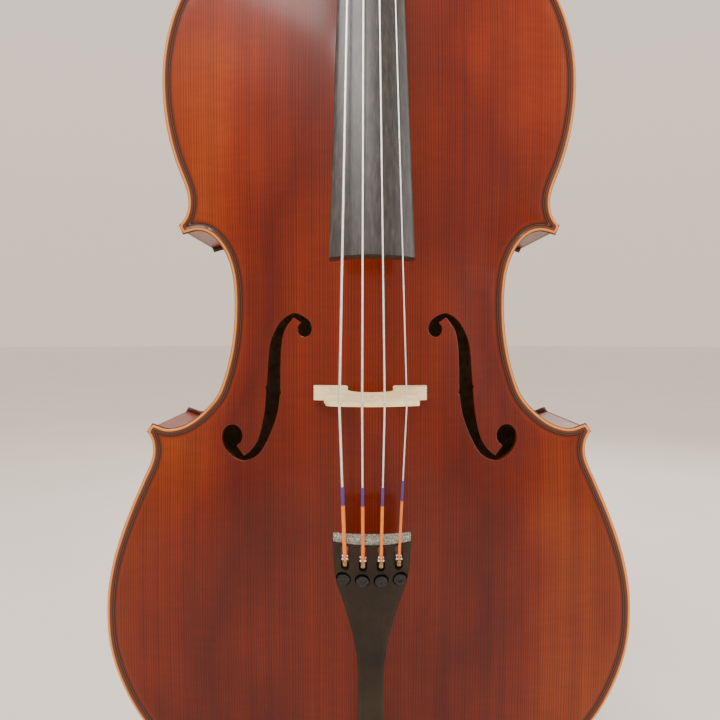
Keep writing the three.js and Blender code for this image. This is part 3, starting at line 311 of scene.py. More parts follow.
class Shader:
    """One material, built node by node from positions on the piece."""

    def __init__(self, name):
        self.material = bpy.data.materials.new(name)
        self.material.use_nodes = True
        self.tree = self.material.node_tree
        self.shader = self.tree.nodes["Principled BSDF"]
        self.place = self.node("ShaderNodeTexCoord").outputs["Object"]

    def node(self, kind, **settings):
        made = self.tree.nodes.new(kind)
        for key, value in settings.items():
            setattr(made, key, value)
        return made

    def put(self, socket, value):
        if isinstance(value, bpy.types.NodeSocket):
            self.tree.links.new(value, socket)
        else:
            socket.default_value = value

    def stretched(self, stretch, place=None):
        mapping = self.node("ShaderNodeMapping")
        self.put(mapping.inputs["Vector"], place or self.place)
        mapping.inputs["Scale"].default_value = stretch
        return mapping.outputs["Vector"]

    def noise(self, scale, stretch=(1, 1, 1), detail=4.0, roughness=0.55, place=None):
        texture = self.node("ShaderNodeTexNoise")
        self.put(texture.inputs["Vector"], self.stretched(stretch, place))
        self.put(texture.inputs["Scale"], scale)
        self.put(texture.inputs["Detail"], detail)
        self.put(texture.inputs["Roughness"], roughness)
        return texture.outputs["Fac"]

    def wave(self, scale, axis, distortion=0.0, stretch=(1, 1, 1), detail=2.0):
        texture = self.node("ShaderNodeTexWave", bands_direction=axis)
        self.put(texture.inputs["Vector"], self.stretched(stretch))
        self.put(texture.inputs["Scale"], scale)
        self.put(texture.inputs["Distortion"], distortion)
        self.put(texture.inputs["Detail"], detail)
        return texture.outputs["Fac"]

    def speckle(self, scale):
        texture = self.node("ShaderNodeTexVoronoi")
        self.put(texture.inputs["Vector"], self.place)
        self.put(texture.inputs["Scale"], scale)
        return texture.outputs["Color"]

    def book_matched(self, x, slope):
        """The place mirrored about the centre joint, with Z rising away from it."""
        split = self.node("ShaderNodeSeparateXYZ")
        self.put(split.inputs[0], self.place)
        made = self.node("ShaderNodeCombineXYZ")
        self.put(made.inputs["X"], x)
        self.put(made.inputs["Y"], split.outputs["Y"])
        self.put(made.inputs["Z"], self.math("ADD", split.outputs["Z"], self.math("MULTIPLY", x, slope)))
        return made.outputs[0]

    def attribute(self, name):
        return self.node("ShaderNodeAttribute", attribute_name=name).outputs["Fac"]

    def ramp(self, factor, stops, interpolation="LINEAR"):
        made = self.node("ShaderNodeValToRGB")
        elements = made.color_ramp.elements
        made.color_ramp.interpolation = interpolation
        while len(elements) < len(stops):
            elements.new(0.5)
        for element, (position, colour) in zip(elements, stops):
            element.position = position
            shade = (colour,) * 3 if isinstance(colour, (int, float)) else colour
            element.color = (*shade, 1)
        self.put(made.inputs["Fac"], factor)
        return made.outputs["Color"]

    def blend(self, a, b, factor, kind="MIX"):
        made = self.node("ShaderNodeMix", data_type="RGBA", blend_type=kind)
        for socket, value in zip((made.inputs[0], made.inputs[6], made.inputs[7]), (factor, a, b)):
            whole = value if isinstance(value, (bpy.types.NodeSocket, int, float)) else (*value, 1)
            self.put(socket, whole)
        return made.outputs[2]

    def math(self, operation, a, b=0.0):
        made = self.node("ShaderNodeMath", operation=operation)
        self.put(made.inputs[0], a)
        self.put(made.inputs[1], b)
        return made.outputs[0]

    def range(self, factor, low, high):
        made = self.node("ShaderNodeMapRange")
        self.put(made.inputs["Value"], factor)
        self.put(made.inputs["To Min"], low)
        self.put(made.inputs["To Max"], high)
        return made.outputs["Result"]

    def finish(self, colour, roughness, height=None, depth=0.0001, **fixed):
        self.put(self.shader.inputs["Base Color"], colour)
        self.put(self.shader.inputs["Roughness"], roughness)
        if height is not None:
            bump = self.node("ShaderNodeBump")
            self.put(bump.inputs["Height"], height)
            self.put(bump.inputs["Distance"], depth)
            self.put(self.shader.inputs["Normal"], bump.outputs["Normal"])
        for key, value in fixed.items():
            self.shader.inputs[key.replace("_", " ").title().replace("Ior", "IOR")].default_value = value
        return self.material


RED_BROWN = (0.205, 0.018, 0.0020)
DEEP_RED = (0.120, 0.008, 0.0015)
ORANGE = (0.330, 0.060, 0.0035)
# The crest gold is worn varnish plus a painted highlight; the channel brown is darker varnish plus painted
# shade.
GOLD_WEAR_AND_HIGHLIGHT = (0.72, 0.25, 0.030)
DARK_EDGE = (0.060, 0.014, 0.006)
EDGE_BAND = (0.115, 0.026, 0.013)
CHANNEL_VARNISH_AND_SHADE = (0.030, 0.008, 0.004)
INLAY_BLACK = (0.022, 0.008, 0.005)
INLAY_TAN = (0.110, 0.045, 0.016)
EDGE_SPAN = 30.0
WAVE_UNIT = 2 * math.pi / 20
RING_WAVE = WAVE_UNIT / (2.1 * MM)


def varnished(name, grain, edged=False):
    """Clear varnish over spruce or flamed maple, redder along the middle and more golden at the sides."""
    s = Shader(name)
    clouds = s.noise(5.5, (1, 1, 0.55), 3)
    split = s.node("ShaderNodeSeparateXYZ")
    s.put(split.inputs[0], s.place)
    from_joint = s.math("ABSOLUTE", split.outputs["X"])
    sideways = s.math("MULTIPLY", from_joint, 2.5)
    zone = s.math("ADD", sideways, s.range(clouds, -0.62, 0.62))
    base = s.ramp(zone, [(0.0, RED_BROWN), (0.20, DEEP_RED), (0.40, RED_BROWN), (0.70, ORANGE)])
    if grain == "spruce":
        rings = s.wave(RING_WAVE, "X", 7.0, (1, 0.25, 0.015), 3.0)
        broad = s.noise(1.0, (110, 40, 0.9), 2)
        figure = s.ramp(rings, [(0.02, (0.64, 0.55, 0.5)), (0.28, (0.96, 0.94, 0.9)),
                                (0.80, (1.08, 1.1, 1.08))])
        base = s.blend(base, s.ramp(broad, [(0.34, 0.80), (0.62, 1.12)]), 0.6, "MULTIPLY")
        silk = s.noise(1.0, (55, 55, 260), 2)
        base = s.blend(base, s.ramp(silk, [(0.35, 0.90), (0.65, 1.08)]), 0.55, "MULTIPLY")
        # Painted shade: the spruce varnish is darkened towards the bottom of the body and lifted slightly
        # towards the top, as if the light falls off downward.
        height = s.math("ADD", split.outputs["Z"], s.range(clouds, -0.16, 0.16))
        painted_lower_shade = s.ramp(height, [(0.30, (0.60, 0.56, 0.45)), (0.64, (1.0, 1.12, 1.0))])
        base = s.blend(base, painted_lower_shade, 1.0, "MULTIPLY")
        relief, depth = rings, 0.00002
    else:
        flame = s.noise(1.0, (8, 8, 125), 2, 0.5, s.book_matched(from_joint, 0.14) if edged else None)
        pores = s.noise(1.0, (700, 700, 24), 2)
        figure = s.ramp(flame, [(0.36, (0.56, 0.46, 0.40)), (0.50, (0.95, 0.92, 0.88)),
                                (0.64, (1.4, 1.5, 1.4))])
        base = s.blend(base, s.ramp(pores, [(0.32, 0.78), (0.55, 1.04)]), 0.6, "MULTIPLY")
        relief, depth = pores, 0.00003
    colour = s.blend(base, figure, 0.8, "MULTIPLY")
    worn = s.noise(28.0, (1, 1, 1), 5, 0.65)
    if edged:
        exact = s.math("DIVIDE", s.attribute("edge"), EDGE_SPAN)
        near = s.math("DIVIDE", s.math("ADD", s.attribute("edge"), s.range(worn, -0.4, 0.4)), EDGE_SPAN)
        # Painted highlight and shade along the edge: the gold crest is worn varnish with a painted
        # highlight, and the dark channel inside it is darker varnish with painted shade.
        rim = s.ramp(near, [(0.0, DARK_EDGE), (0.020, DARK_EDGE), (0.034, GOLD_WEAR_AND_HIGHLIGHT), (0.072, GOLD_WEAR_AND_HIGHLIGHT),
                            (0.094, EDGE_BAND), (0.145, EDGE_BAND), (0.165, CHANNEL_VARNISH_AND_SHADE),
                            (0.225, CHANNEL_VARNISH_AND_SHADE), (0.30, RED_BROWN)])
        colour = s.blend(colour, rim, s.ramp(near, [(0.20, 1.0), (0.36, 0.0)]))
        inlay = s.ramp(exact, [(0.0, 0.0), (0.155, 1.0), (0.212, 0.0)], "CONSTANT")
        thread = s.ramp(exact, [(0.0, INLAY_BLACK), (0.176, INLAY_TAN), (0.192, INLAY_BLACK)], "CONSTANT")
        colour = s.blend(colour, thread, inlay)
    patchy = s.blend(colour, DEEP_RED, s.ramp(worn, [(0.58, 0.0), (0.82, 0.35)]))
    roughness = s.range(worn, 0.30, 0.46)
    return s.finish(patchy, roughness, relief, depth, coat_weight=0.28, coat_roughness=0.14, ior=1.5,
                    specular_ior_level=0.15)


def bare_wood(name, light, dark, stretch, gloss=0.62):
    s = Shader(name)
    fibres = s.noise(1.0, stretch, 4, 0.6)
    flecks = s.noise(1.0, tuple(v * 2.3 for v in stretch), 2)
    colour = s.ramp(fibres, [(0.30, dark), (0.62, light)])
    colour = s.blend(colour, s.ramp(flecks, [(0.30, 0.74), (0.44, 1.0)]), 0.7, "MULTIPLY")
    soiled = s.noise(34.0, (1, 1, 1), 4)
    colour = s.blend(colour, s.ramp(soiled, [(0.35, 0.86), (0.62, 1.03)]), 0.8, "MULTIPLY")
    return s.finish(colour, s.range(fibres, gloss - 0.1, gloss + 0.12), flecks, 0.00008)


def ebony(name, stretch):
    s = Shader(name)
    streaks = s.noise(1.0, stretch, 5, 0.65)
    colour = s.ramp(streaks, [(0.34, (0.010, 0.009, 0.009)), (0.52, (0.028, 0.025, 0.023)),
                              (0.74, (0.062, 0.052, 0.044))])
    worn = s.noise(16.0, (1, 1, 1), 4)
    return s.finish(colour, s.range(worn, 0.26, 0.46), streaks, 0.00004, ior=1.55)


def composite():
    s = Shader("tailpiece_composite")
    cloth = s.noise(1.0, (900, 900, 260), 3)
    clouds = s.noise(24.0, (1, 1, 1), 4)
    colour = s.ramp(clouds, [(0.32, (0.011, 0.007, 0.004)), (0.68, (0.026, 0.016, 0.008))])
    colour = s.blend(colour, s.ramp(cloth, [(0.35, 0.72), (0.62, 1.25)]), 0.7, "MULTIPLY")
    return s.finish(colour, s.range(cloth, 0.40, 0.62), cloth, 0.00007, specular_ior_level=0.2)


def granite():
    s = Shader("tail_fret_granite")
    grains = s.ramp(s.speckle(1700.0), [(0.10, (0.03, 0.032, 0.028)), (0.50, (0.17, 0.18, 0.155)),
                                        (0.90, (0.50, 0.52, 0.46))])
    soft = s.noise(420.0, (1, 1, 1), 3)
    return s.finish(s.blend(grains, s.ramp(soft, [(0.3, 0.6), (0.7, 1.2)]), 0.6, "MULTIPLY"),
                    s.range(soft, 0.22, 0.5), soft, 0.00003)


def metal(name, light, dark, scale, stretch, rough):
    s = Shader(name)
    brushed = s.noise(scale, stretch, 3)
    colour = s.ramp(brushed, [(0.3, dark), (0.7, light)])
    marks = s.noise(90.0, (1, 1, 1), 4)
    return s.finish(colour, s.range(marks, rough - 0.08, rough + 0.14), brushed, 0.00002, metallic=1.0)


def wound(name, light, dark, pitch, metallic, rough, relief=0.00001):
    """Thread or wire wound round something that runs up the instrument; pitch is in millimetres."""
    s = Shader(name)
    turns = s.wave(WAVE_UNIT / (pitch * MM), "Z", 0.6, (1, 1, 1), 1)
    tone = s.noise(260.0, (1, 1, 1), 3)
    # Painted shade: the narrow dark band at each turn is shade in the groove between turns, painted into the
    # colour as well as the bump.
    colour = s.blend(s.ramp(turns, [(0.05, dark), (0.6, light)]),
                     s.ramp(tone, [(0.3, 0.8), (0.7, 1.1)]), 0.7, "MULTIPLY")
    return s.finish(colour, s.range(tone, rough - 0.06, rough + 0.12), turns, relief, metallic=metallic)


def rubber():
    s = Shader("rubber")
    dust = s.noise(240.0, (1, 1, 1), 5)
    colour = s.ramp(dust, [(0.35, (0.010, 0.010, 0.010)), (0.75, (0.045, 0.043, 0.040))])
    return s.finish(colour, s.range(dust, 0.62, 0.92), dust, 0.0002)


TOP_VARNISH = varnished("varnish_spruce", "spruce", edged=True)
BACK_VARNISH = varnished("varnish_maple_back", "maple", edged=True)
RIB_VARNISH = varnished("varnish_maple_ribs", "maple")
NECK_VARNISH = varnished("varnish_maple_neck", "maple")
INNER_SPRUCE = bare_wood("bare_spruce", (0.60, 0.40, 0.20), (0.36, 0.21, 0.09), (420, 60, 6))
INNER_WILLOW = bare_wood("bare_willow", (0.56, 0.40, 0.23), (0.38, 0.25, 0.13), (180, 24, 180))
BRIDGE_WOOD = bare_wood("bridge_maple", (1.0, 0.82, 0.47), (0.93, 0.68, 0.33), (30, 260, 620), 0.5)
BOARD_EBONY = ebony("ebony_board", (420, 420, 5))
FITTING_EBONY = ebony("ebony_fittings", (30, 300, 300))
COMPOSITE = composite()
GRANITE = granite()
STEEL = metal("satin_steel", (0.72, 0.72, 0.70), (0.50, 0.50, 0.49), 1.0, (900, 900, 60), 0.26)
DARK_METAL = metal("black_oxide", (0.055, 0.055, 0.055), (0.02, 0.02, 0.022), 1.0, (700, 700, 700), 0.38)
BRASS = metal("ball_brass", (0.42, 0.29, 0.12), (0.22, 0.14, 0.06), 1.0, (500, 500, 500), 0.36)
STRING_WIRE = wound("string_winding", (0.93, 0.91, 0.87), (0.80, 0.78, 0.75), 0.4, 1.0, 0.30)
SILK_BLUE = wound("silk_violet", (0.075, 0.040, 0.25), (0.055, 0.028, 0.19), 0.5, 0.0, 0.55)
SILK_YELLOW = wound("silk_orange", (0.90, 0.25, 0.006), (0.78, 0.19, 0.004), 0.5, 0.0, 0.55)
SILK_SALMON = wound("silk_salmon", (0.88, 0.21, 0.022), (0.76, 0.16, 0.015), 0.5, 0.0, 0.55)
CORD = wound("braided_cord", (0.050, 0.048, 0.055), (0.012, 0.012, 0.015), 1.2, 0.0, 0.6, 0.0001)
RUBBER = rubber()


# ---------- making meshes ----------

def piece(name, points, faces, material, slot, body="root", replaces=(), sharp=38, inner=None,
          inner_faces=0, bevel=0.0):
    """A finished mesh that rides on a body; its last inner_faces faces take the inner material."""
    mesh = bpy.data.meshes.new(name)
    mesh.from_pydata((np.array(points, float) * MM).tolist(), [], [tuple(map(int, f)) for f in faces])
    mesh.materials.append(material)
    if inner:
        mesh.materials.append(inner)
        chosen = np.zeros(len(faces), np.int32)
        chosen[len(faces) - inner_faces:] = 1
        mesh.polygons.foreach_set("material_index", chosen)
    shape = bmesh.new()
    shape.from_mesh(mesh)
    bmesh.ops.recalc_face_normals(shape, faces=shape.faces)
    shape.to_mesh(mesh)
    shape.free()
    mesh.polygons.foreach_set("use_smooth", np.ones(len(mesh.polygons), bool))
    mesh.set_sharp_from_angle(angle=math.radians(sharp))
    made = bpy.data.objects.new(name, mesh)
    bpy.context.scene.collection.objects.link(made)
    if bevel:
        modifier = made.modifiers.new("eased", "BEVEL")
        modifier.width = bevel * MM
        modifier.segments = 2
        modifier.limit_method = "ANGLE"
        modifier.angle_limit = math.radians(38)
    if body:
        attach(made, body)
    if replaces:
        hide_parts(*replaces)
    return made


def joined(*solids):
    """Several (points, faces) as one."""
    points, faces, first = [], [], 0
    for some_points, some_faces in solids:
        points.append(np.array(some_points, float))
        faces += [tuple(i + first for i in face) for face in some_faces]
        first += len(some_points)
    return np.vstack(points), faces


def loft(sections):
    """A closed solid through rows of points."""
    count = len(sections[0])
    faces = []
    for k in range(len(sections) - 1):
        for i in range(count):
            a, b = k * count + i, k * count + (i + 1) % count
            faces.append((a, b, b + count, a + count))
    faces.append(tuple(range(count))[::-1])
    faces.append(tuple(range((len(sections) - 1) * count, len(sections) * count)))
    return np.vstack(sections), faces


def turned(profile_points, segments, ridges=0, ridge_depth=0.0, ridge_range=(0, 0)):
    """A closed solid of revolution about Z, with an optional knurled band."""
    sections = []
    angles = np.linspace(0, 2 * math.pi, segments, endpoint=False)
    for radius, z in profile_points:
        knurled = ridges and ridge_range[0] <= z <= ridge_range[1] and radius > 3
        radii = radius - (ridge_depth * (0.5 + 0.5 * np.cos(ridges * angles)) if knurled else 0)
        sections.append(np.column_stack([radii * np.cos(angles), radii * np.sin(angles),
                                         np.full(segments, z)]))
    return loft(sections)


def bored(profile_points, segments):
    """A solid of revolution whose first and last rings are joined by its bore."""
    points, faces = turned(profile_points, segments)
    last = (len(profile_points) - 1) * segments
    bore = [(i, (i + 1) % segments, last + (i + 1) % segments, last + i) for i in range(segments)]
    return points, faces[:-2] + bore


def tube(path, radius, sides=12):
    """A round rod along a path; radius may differ from point to point."""
    path = np.array(path, float)
    radii = np.broadcast_to(np.array(radius, float), len(path))
    along = np.gradient(path, axis=0)
    along /= np.linalg.norm(along, axis=1)[:, None]
    across = np.cross(along[0], [1, 0, 0] if abs(along[0][0]) < 0.8 else [0, 1, 0])
    angles = np.linspace(0, 2 * math.pi, sides, endpoint=False)
    sections = []
    for point, way, size in zip(path, along, radii):
        across = across - way * across.dot(way)
        across /= np.linalg.norm(across)
        other = np.cross(way, across)
        sections.append(point + size * (np.outer(np.cos(angles), across) + np.outer(np.sin(angles), other)))
    return loft(sections)


def triangulated(loop, holes, extra):
    """Points and triangles over a flat loop with holes in it, using the extra points too."""
    loops = [np.array(some, float) for some in (loop, *holes)]
    edges, first = [], 0
    for some in loops:
        edges += [(first + i, first + (i + 1) % len(some)) for i in range(len(some))]
        first += len(some)
    given = np.vstack([*loops, extra]) if len(extra) else np.vstack(loops)
    made = delaunay_2d_cdt([Vector(point) for point in given], edges, [], 0, 1e-5)
    points = np.array([tuple(point) for point in made[0]])
    triangles = np.array([face for face in made[2] if len(face) == 3])
    centres = points[triangles].mean(1)
    kept = inside(centres, loops[0])
    for hole in loops[1:]:
        kept &= ~inside(centres, hole)
    return points, triangles[kept]


def two_sided(points, triangles, front_of, back_of):
    """A solid between two faces over one flat triangulation; its last faces are the back ones."""
    count = len(points)
    seen = {}
    for a, b, c in triangles:
        for edge in ((a, b), (b, c), (c, a)):
            seen[tuple(sorted(edge))] = None if tuple(sorted(edge)) in seen else edge
    walls = [(a, b, b + count, a + count) for a, b in filter(None, seen.values())]
    back = [(a + count, c + count, b + count) for a, b, c in triangles]
    faces = [tuple(face) for face in triangles] + walls + back
    return np.vstack([front_of(points), back_of(points)]), faces, len(back)


# ---------- plates ----------

def inset_points(distance):
    found = []
    for run in (UPPER, CORNER_ENDS[0], CENTRE, CORNER_ENDS[1], LOWER):
        fine = respaced(run, OUTLINE_SPACING)
        found.append(fine + inward(fine) * distance)
    right = np.vstack(found)
    both = np.vstack([right, right[right[:, 0] > 1] * [-1, 1]])
    both = both[inside(both, OUTLINE)]
    return both[np.abs(distance_to(both, OUTLINE, True) - distance) < 0.03]


def f_hole(side):
    """The hole's edge, with the pair of nicks that mark the bridge's place."""
    outer = respaced(spline([body_point(side * x, below) for x, below in F_HOLE_OUTER], 14), 1.3)
    inner = respaced(spline([body_point(side * x, below) for x, below in F_HOLE_INNER], 14), 1.3)

    def nicked(run, below, depth):
        z = BODY_TOP - below
        nick = np.maximum(0, 1 - np.abs(run[:, 1] - z) / 1.6)
        stem = np.abs(np.abs(run[:, 0]) - 78) < 14
        return run + np.column_stack([side * depth * nick * stem, np.zeros(len(run))])

    return np.vstack([nicked(outer, 397, 1.5), nicked(inner, 401, -1.5)])


PLATE_STEP = 5.0


def front_loop():
    """The outline, notched for the neck's root and the saddle."""
    x, z = RIGHT.T
    below_root = z < BODY_TOP - NOTCH_REACH
    between = below_root & (z > BODY_BOTTOM + NOTCH_REACH)
    right = RIGHT[((x >= ROOT_HALF) | between) & ((x > ROOT_HALF + 0.5) | below_root)]
    foot = SADDLE_HALF + GAP
    low = LOWER[::-1][:40]
    top_corner = [[ROOT_HALF, BODY_TOP - ROOT_DEPTH - GAP],
                  [ROOT_HALF, np.interp(ROOT_HALF, *UPPER[:40].T)]]
    low_corner = [[foot, np.interp(foot, *low.T)], [foot, BODY_BOTTOM + SADDLE_DEPTH + GAP]]
    right = np.vstack([top_corner, right, low_corner])
    return np.vstack([right, mirrored(right)])


def back_loop():
    """The outline, with the button that the neck's heel is glued to."""
    button = [[BUTTON_RADIUS * math.cos(a), BODY_TOP + BUTTON_RISE + BUTTON_RADIUS * math.sin(a)]
              for a in np.linspace(math.pi / 2, 0, 14)]
    right = np.vstack([button, RIGHT[RIGHT[:, 0] > BUTTON_RADIUS + 0.2], RIGHT[-1:]])
    return np.vstack([right, mirrored(right)[1:-1]])


def arch_grid():
    """Staggered points over the arched part, inside the edge."""
    across = np.arange(-220, 220, PLATE_STEP)
    rows = np.arange(BODY_BOTTOM, BODY_TOP, PLATE_STEP * 0.866)
    grid = np.vstack([np.column_stack([across + (k % 2) * PLATE_STEP / 2, np.full(len(across), z)])
                      for k, z in enumerate(rows)])
    grid = grid[inside(grid, OUTLINE)]
    return grid[distance_to(grid, OUTLINE, True) > 15]


def plate(name, node, side, rise, holes, varnish, inner, slot):
    loop = front_loop() if side < 0 else back_loop()
    extra = [inset_points(distance) for distance in CONTOURS] + [arch_grid()]
    extra = np.vstack(extra)
    extra = extra[inside(extra, loop)]
    extra = extra[distance_to(extra, loop, True) > 0.2]
    for hole in holes:
        extra = extra[~inside(extra, hole) & (distance_to(extra, hole, True) > 4.0)]
        out = np.gradient(hole, axis=0)
        out = np.column_stack([out[:, 1], -out[:, 0]]) / np.linalg.norm(out, axis=1)[:, None]
        for reach in HOLE_CONTOURS:
            ring = np.vstack([hole + out * reach, hole - out * reach])
            ring = ring[~inside(ring, hole)]
            extra = np.vstack([extra, ring[distance_to(ring, hole, True) > reach - 0.03]])
    points, triangles = triangulated(loop, holes, extra)
    from_edge = distance_to(points, OUTLINE, True) * np.where(inside(points, OUTLINE), 1, 0)
    rim = distance_to(points, loop, True)
    from_edge = np.where((points[:, 1] > BODY_TOP + 2) & (side > 0), rim, from_edge)
    overhanging = from_edge[triangles].mean(1) < OVERHANG + RIB_THICKNESS
    triangles = np.vstack([triangles[overhanging], triangles[~overhanging]])
    arched = arch(points[:, 0], points[:, 1], rise)
    eased = np.zeros(len(points))
    for hole in holes:
        eased += 0.25 * np.maximum(0, 1 - distance_to(points, hole, True) / HOLE_CONTOURS[0])

    def outer(flat):
        height = np.interp(from_edge, EDGE_AT, EDGE_HEIGHT) + arched - eased
        return np.column_stack([flat[:, 0], side * (RIB_HALF_HEIGHT + height), flat[:, 1]])

    def under(flat):
        height = np.maximum(EDGE_THICKNESS + arched - PLATE_THICKNESS, 0)
        height = np.maximum(height, np.interp(from_edge, UNDER_AT, UNDER_HEIGHT))
        return np.column_stack([flat[:, 0], side * (RIB_HALF_HEIGHT + height), flat[:, 1]])

    solid, faces, count = two_sided(points, triangles, outer, under)
    made = piece(name, solid, faces, varnish, slot, replaces=[node], inner=inner,
                 inner_faces=count - overhanging.sum())
    edge = made.data.attributes.new("edge", "FLOAT", "POINT")
    edge.data.foreach_set("value", np.concatenate([from_edge, 0 * from_edge]).astype(np.float32))
    return made


HOLES = [f_hole(1), f_hole(-1)]
plate("front_plate", "top_plate", -1, TOP_ARCH, HOLES, TOP_VARNISH, INNER_SPRUCE, "top_varnish")
plate("rear_plate", "back_plate", 1, BACK_ARCH, [], BACK_VARNISH, INNER_WILLOW, "maple_varnish")


# ---------- ribs ----------

def rib(bout_name, bout, side_name, side):
    others = [other for other in (UPPER, CENTRE, LOWER) if other is not bout]
    outer = bout + inward(bout) * OVERHANG
    inner = bout + inward(bout) * (OVERHANG + RIB_THICKNESS)
    low = GAP if bout is not UPPER else 20.5
    kept = (outer[:, 0] > low) & np.all([distance_to(outer, other) > OVERHANG for other in others], axis=0)
    outer, inner = outer[kept], inner[kept]
    half = RIB_HALF_HEIGHT - 0.05
    sections = [np.array([[side * a[0], -half, a[1]], [side * a[0], 0, a[1]], [side * a[0], half, a[1]],
                          [side * b[0], half, b[1]], [side * b[0], -half, b[1]]])
                for a, b in zip(outer, inner)]
    points, faces = loft(sections)
    node = f"rib_{bout_name}_{side_name}"
    piece(f"side_{bout_name}_{side_name}", points, faces, RIB_VARNISH, "maple_varnish", replaces=[node])


SIDES = [("bass", -1), ("treble", 1)]
for side_name, side in SIDES:
    for bout_name, bout in (("upper", UPPER), ("centre", CENTRE), ("lower", LOWER)):
        rib(bout_name, bout, side_name, side)


# ---------- neck, head and fingerboard ----------

NECK_COS, NECK_SIN = math.cos(NECK_TILT), math.sin(NECK_TILT)


def neck_point(x, depth, along):
    return np.array([x, -RIB_HALF_HEIGHT - BOARD_RISE + depth * NECK_COS + along * NECK_SIN,
                     BODY_TOP - depth * NECK_SIN + along * NECK_COS])


def from_nut(along):
    return (NECK_LENGTH - along) / BOARD_LENGTH


def board_half(along):
    return mix(15.5, 30.3, from_nut(along))


def board_under(along):
    return 9 + 8 * from_nut(along)


HEAD_WIDTH = [(284, 15.5), (286.7, 18), (294, 22), (302, 24), (350, 20.5), (398, 16.5), (425, 14),
              (440, 13.4)]
HEAD_FRONT = [(284, 12), (286.4, 12), (286.7, 3.5), (350, 9), (398, 17), (425, 24), (440, 30)]
HEAD_BACK = [(284, 29), (292, 35), (305, 42), (350, 44), (398, 47), (425, 51), (440, 52)]
HOLLOW_WIDTH = [(284, 13), (302, 14.5), (350, 11.5), (396, 8)]
HOLLOW_BACK = [(284, 9.6), (290, 13), (298, 27), (305, 33), (350, 35), (396, 38)]
NECK_BACK = [(-8, 33), (30, 34), (60, 32.5), (260, 29), (290, 29)]
HEEL = [(-90, 22, 46), (-80, 22.2, 44), (-70, 22, 40), (-62, 21.2, 35), (-55, 20.3, 30.5),
        (-45, 19.2, 26.5), (-30, 18.2, 23.5), (0, 16.5, 20), (30, 15.5, 18.9), (57.7, 14.5, 18.5)]


def neck_shaft():
    sections = []
    for along in np.linspace(-8, 292, 50):
        half = board_half(along) - 0.2
        top = board_under(min(along, NECK_LENGTH)) - (2.5 if along < NECK_LENGTH - 4 else -GAP)
        deep = profile(NECK_BACK, along) - top
        angles = np.linspace(0, math.pi, 33)
        sections.append(np.array([neck_point(-half * math.cos(a) * (1 if 0 < a < math.pi else 0.995),
                                             top + deep * abs(math.sin(a)) ** 0.8, along) for a in angles]))
    return loft(sections)


def heel():
    sections = []
    bottom = BODY_TOP - ROOT_DEPTH + 0.5
    for y, half, reach in spline(HEEL, 4):
        top = BODY_TOP + reach - 14
        arc = [[half * math.cos(a), y, top + 14 * math.sin(a)] for a in np.linspace(0, math.pi, 25)]
        sections.append(np.array([[half, y, bottom], *arc, [-half, y, bottom]]))
    return loft(sections)


def pegbox():
    sections = []
    places = [284, 286.3, 286.8, 288, *np.arange(290, 394, 4), 394, 396, 399, *np.arange(404, 441, 4)]
    for along in places:
        half, front, back = (profile(table, along) for table in (HEAD_WIDTH, HEAD_FRONT, HEAD_BACK))
        hollow = 286.5 < along < 397
        wall = profile(HOLLOW_WIDTH, along) if hollow else half - 5
        floor = profile(HOLLOW_BACK, along) if hollow else front
        floor = max(floor, front)
        lip = min(1.2, floor - front)
        right = [(0, floor), (wall - 2 * lip, floor), (wall - 0.5 * lip, floor - 0.4 * lip),
                 (wall, floor - 1.6 * lip), (wall, front + lip), (wall + 0.8, front + 0.1),
                 (half - 1.4, front), (half - 0.3, front + 0.5), (half, front + 1.6),
                 (half, mix(front, back, 0.5)), (half, back - 7), (half - 0.5, back - 3.5),
                 (half - 1.6, back - 1.4), (half - 3.4, back - 0.6), (half * 0.6, back - 2.0),
                 (half * 0.3, back - 1.5), (half * 0.08, back)]
        left = [(-x, depth) for x, depth in right[:0:-1]]
        sections.append(np.array([neck_point(x, depth, along) for x, depth in right + left]))
    return loft(sections)


# The scroll: radius and half width of the spiral at each part of a turn from the pegbox's back.
SCROLL_RADIUS = [(0, 36), (0.1, 32), (0.2, 31), (0.36, 31), (0.6, 28.6), (0.85, 24.6), (1.1, 21.4),
                 (1.36, 19), (1.6, 16.4), (1.85, 13.6), (2.1, 11.4), (2.36, 9.6), (2.75, 7.6), (3.8, 2)]
SCROLL_HALF = [(0, 13.4), (0.36, 12.8), (0.6, 13.8), (0.85, 16.2), (1.1, 18.6), (1.36, 20.2), (1.6, 21.6),
               (1.85, 23.2), (2.1, 25), (2.36, 26.6), (2.75, 28.2)]
SCROLL_CENTRE = (448, 22)
SCROLL_START = math.radians(128)


def scroll_point(x, radius, angle):
    along, depth = SCROLL_CENTRE
    return neck_point(x, depth + radius * math.sin(angle), along + radius * math.cos(angle))


def scroll():
    sections = []
    for turn in np.linspace(0, 2.75, 190):
        angle = SCROLL_START - 2 * math.pi * turn
        radius, half = profile(SCROLL_RADIUS, turn), profile(SCROLL_HALF, turn)
        inner = max(profile(SCROLL_RADIUS, turn + 1) - 1.5, 0.4) if turn < 2 else 0.4
        flute = 1.7 if turn < 1.05 else 0.0
        rim = [(half - 0.9, radius), (half * 0.72, radius - flute * 0.7), (half * 0.42, radius - flute),
               (half * 0.16, radius - flute * 0.6), (0, radius)]
        dish = 1.3 * min(1, (radius - inner) / 9)
        side_face = [(half, radius - 0.9), (half - 0.1, radius - 2.2),
                     (half - dish, mix(radius, inner, 0.55)), (half - 0.6 * dish, inner)]
        right = side_face[::-1] + rim
        whole = right + [(-x, r) for x, r in right[-2::-1]]
        sections.append(np.array([scroll_point(x, r, angle) for x, r in whole]))
    return loft(sections)


def scroll_eye(side):
    rings = [(8.4, 20), (8.4, 27.4), (7.9, 28.3), (6.4, 28.9), (3.5, 29), (0.5, 29)]
    angles = np.linspace(0, 2 * math.pi, 40, endpoint=False)
    return loft([np.array([scroll_point(side * x, r, a) for a in angles]) for r, x in rings])


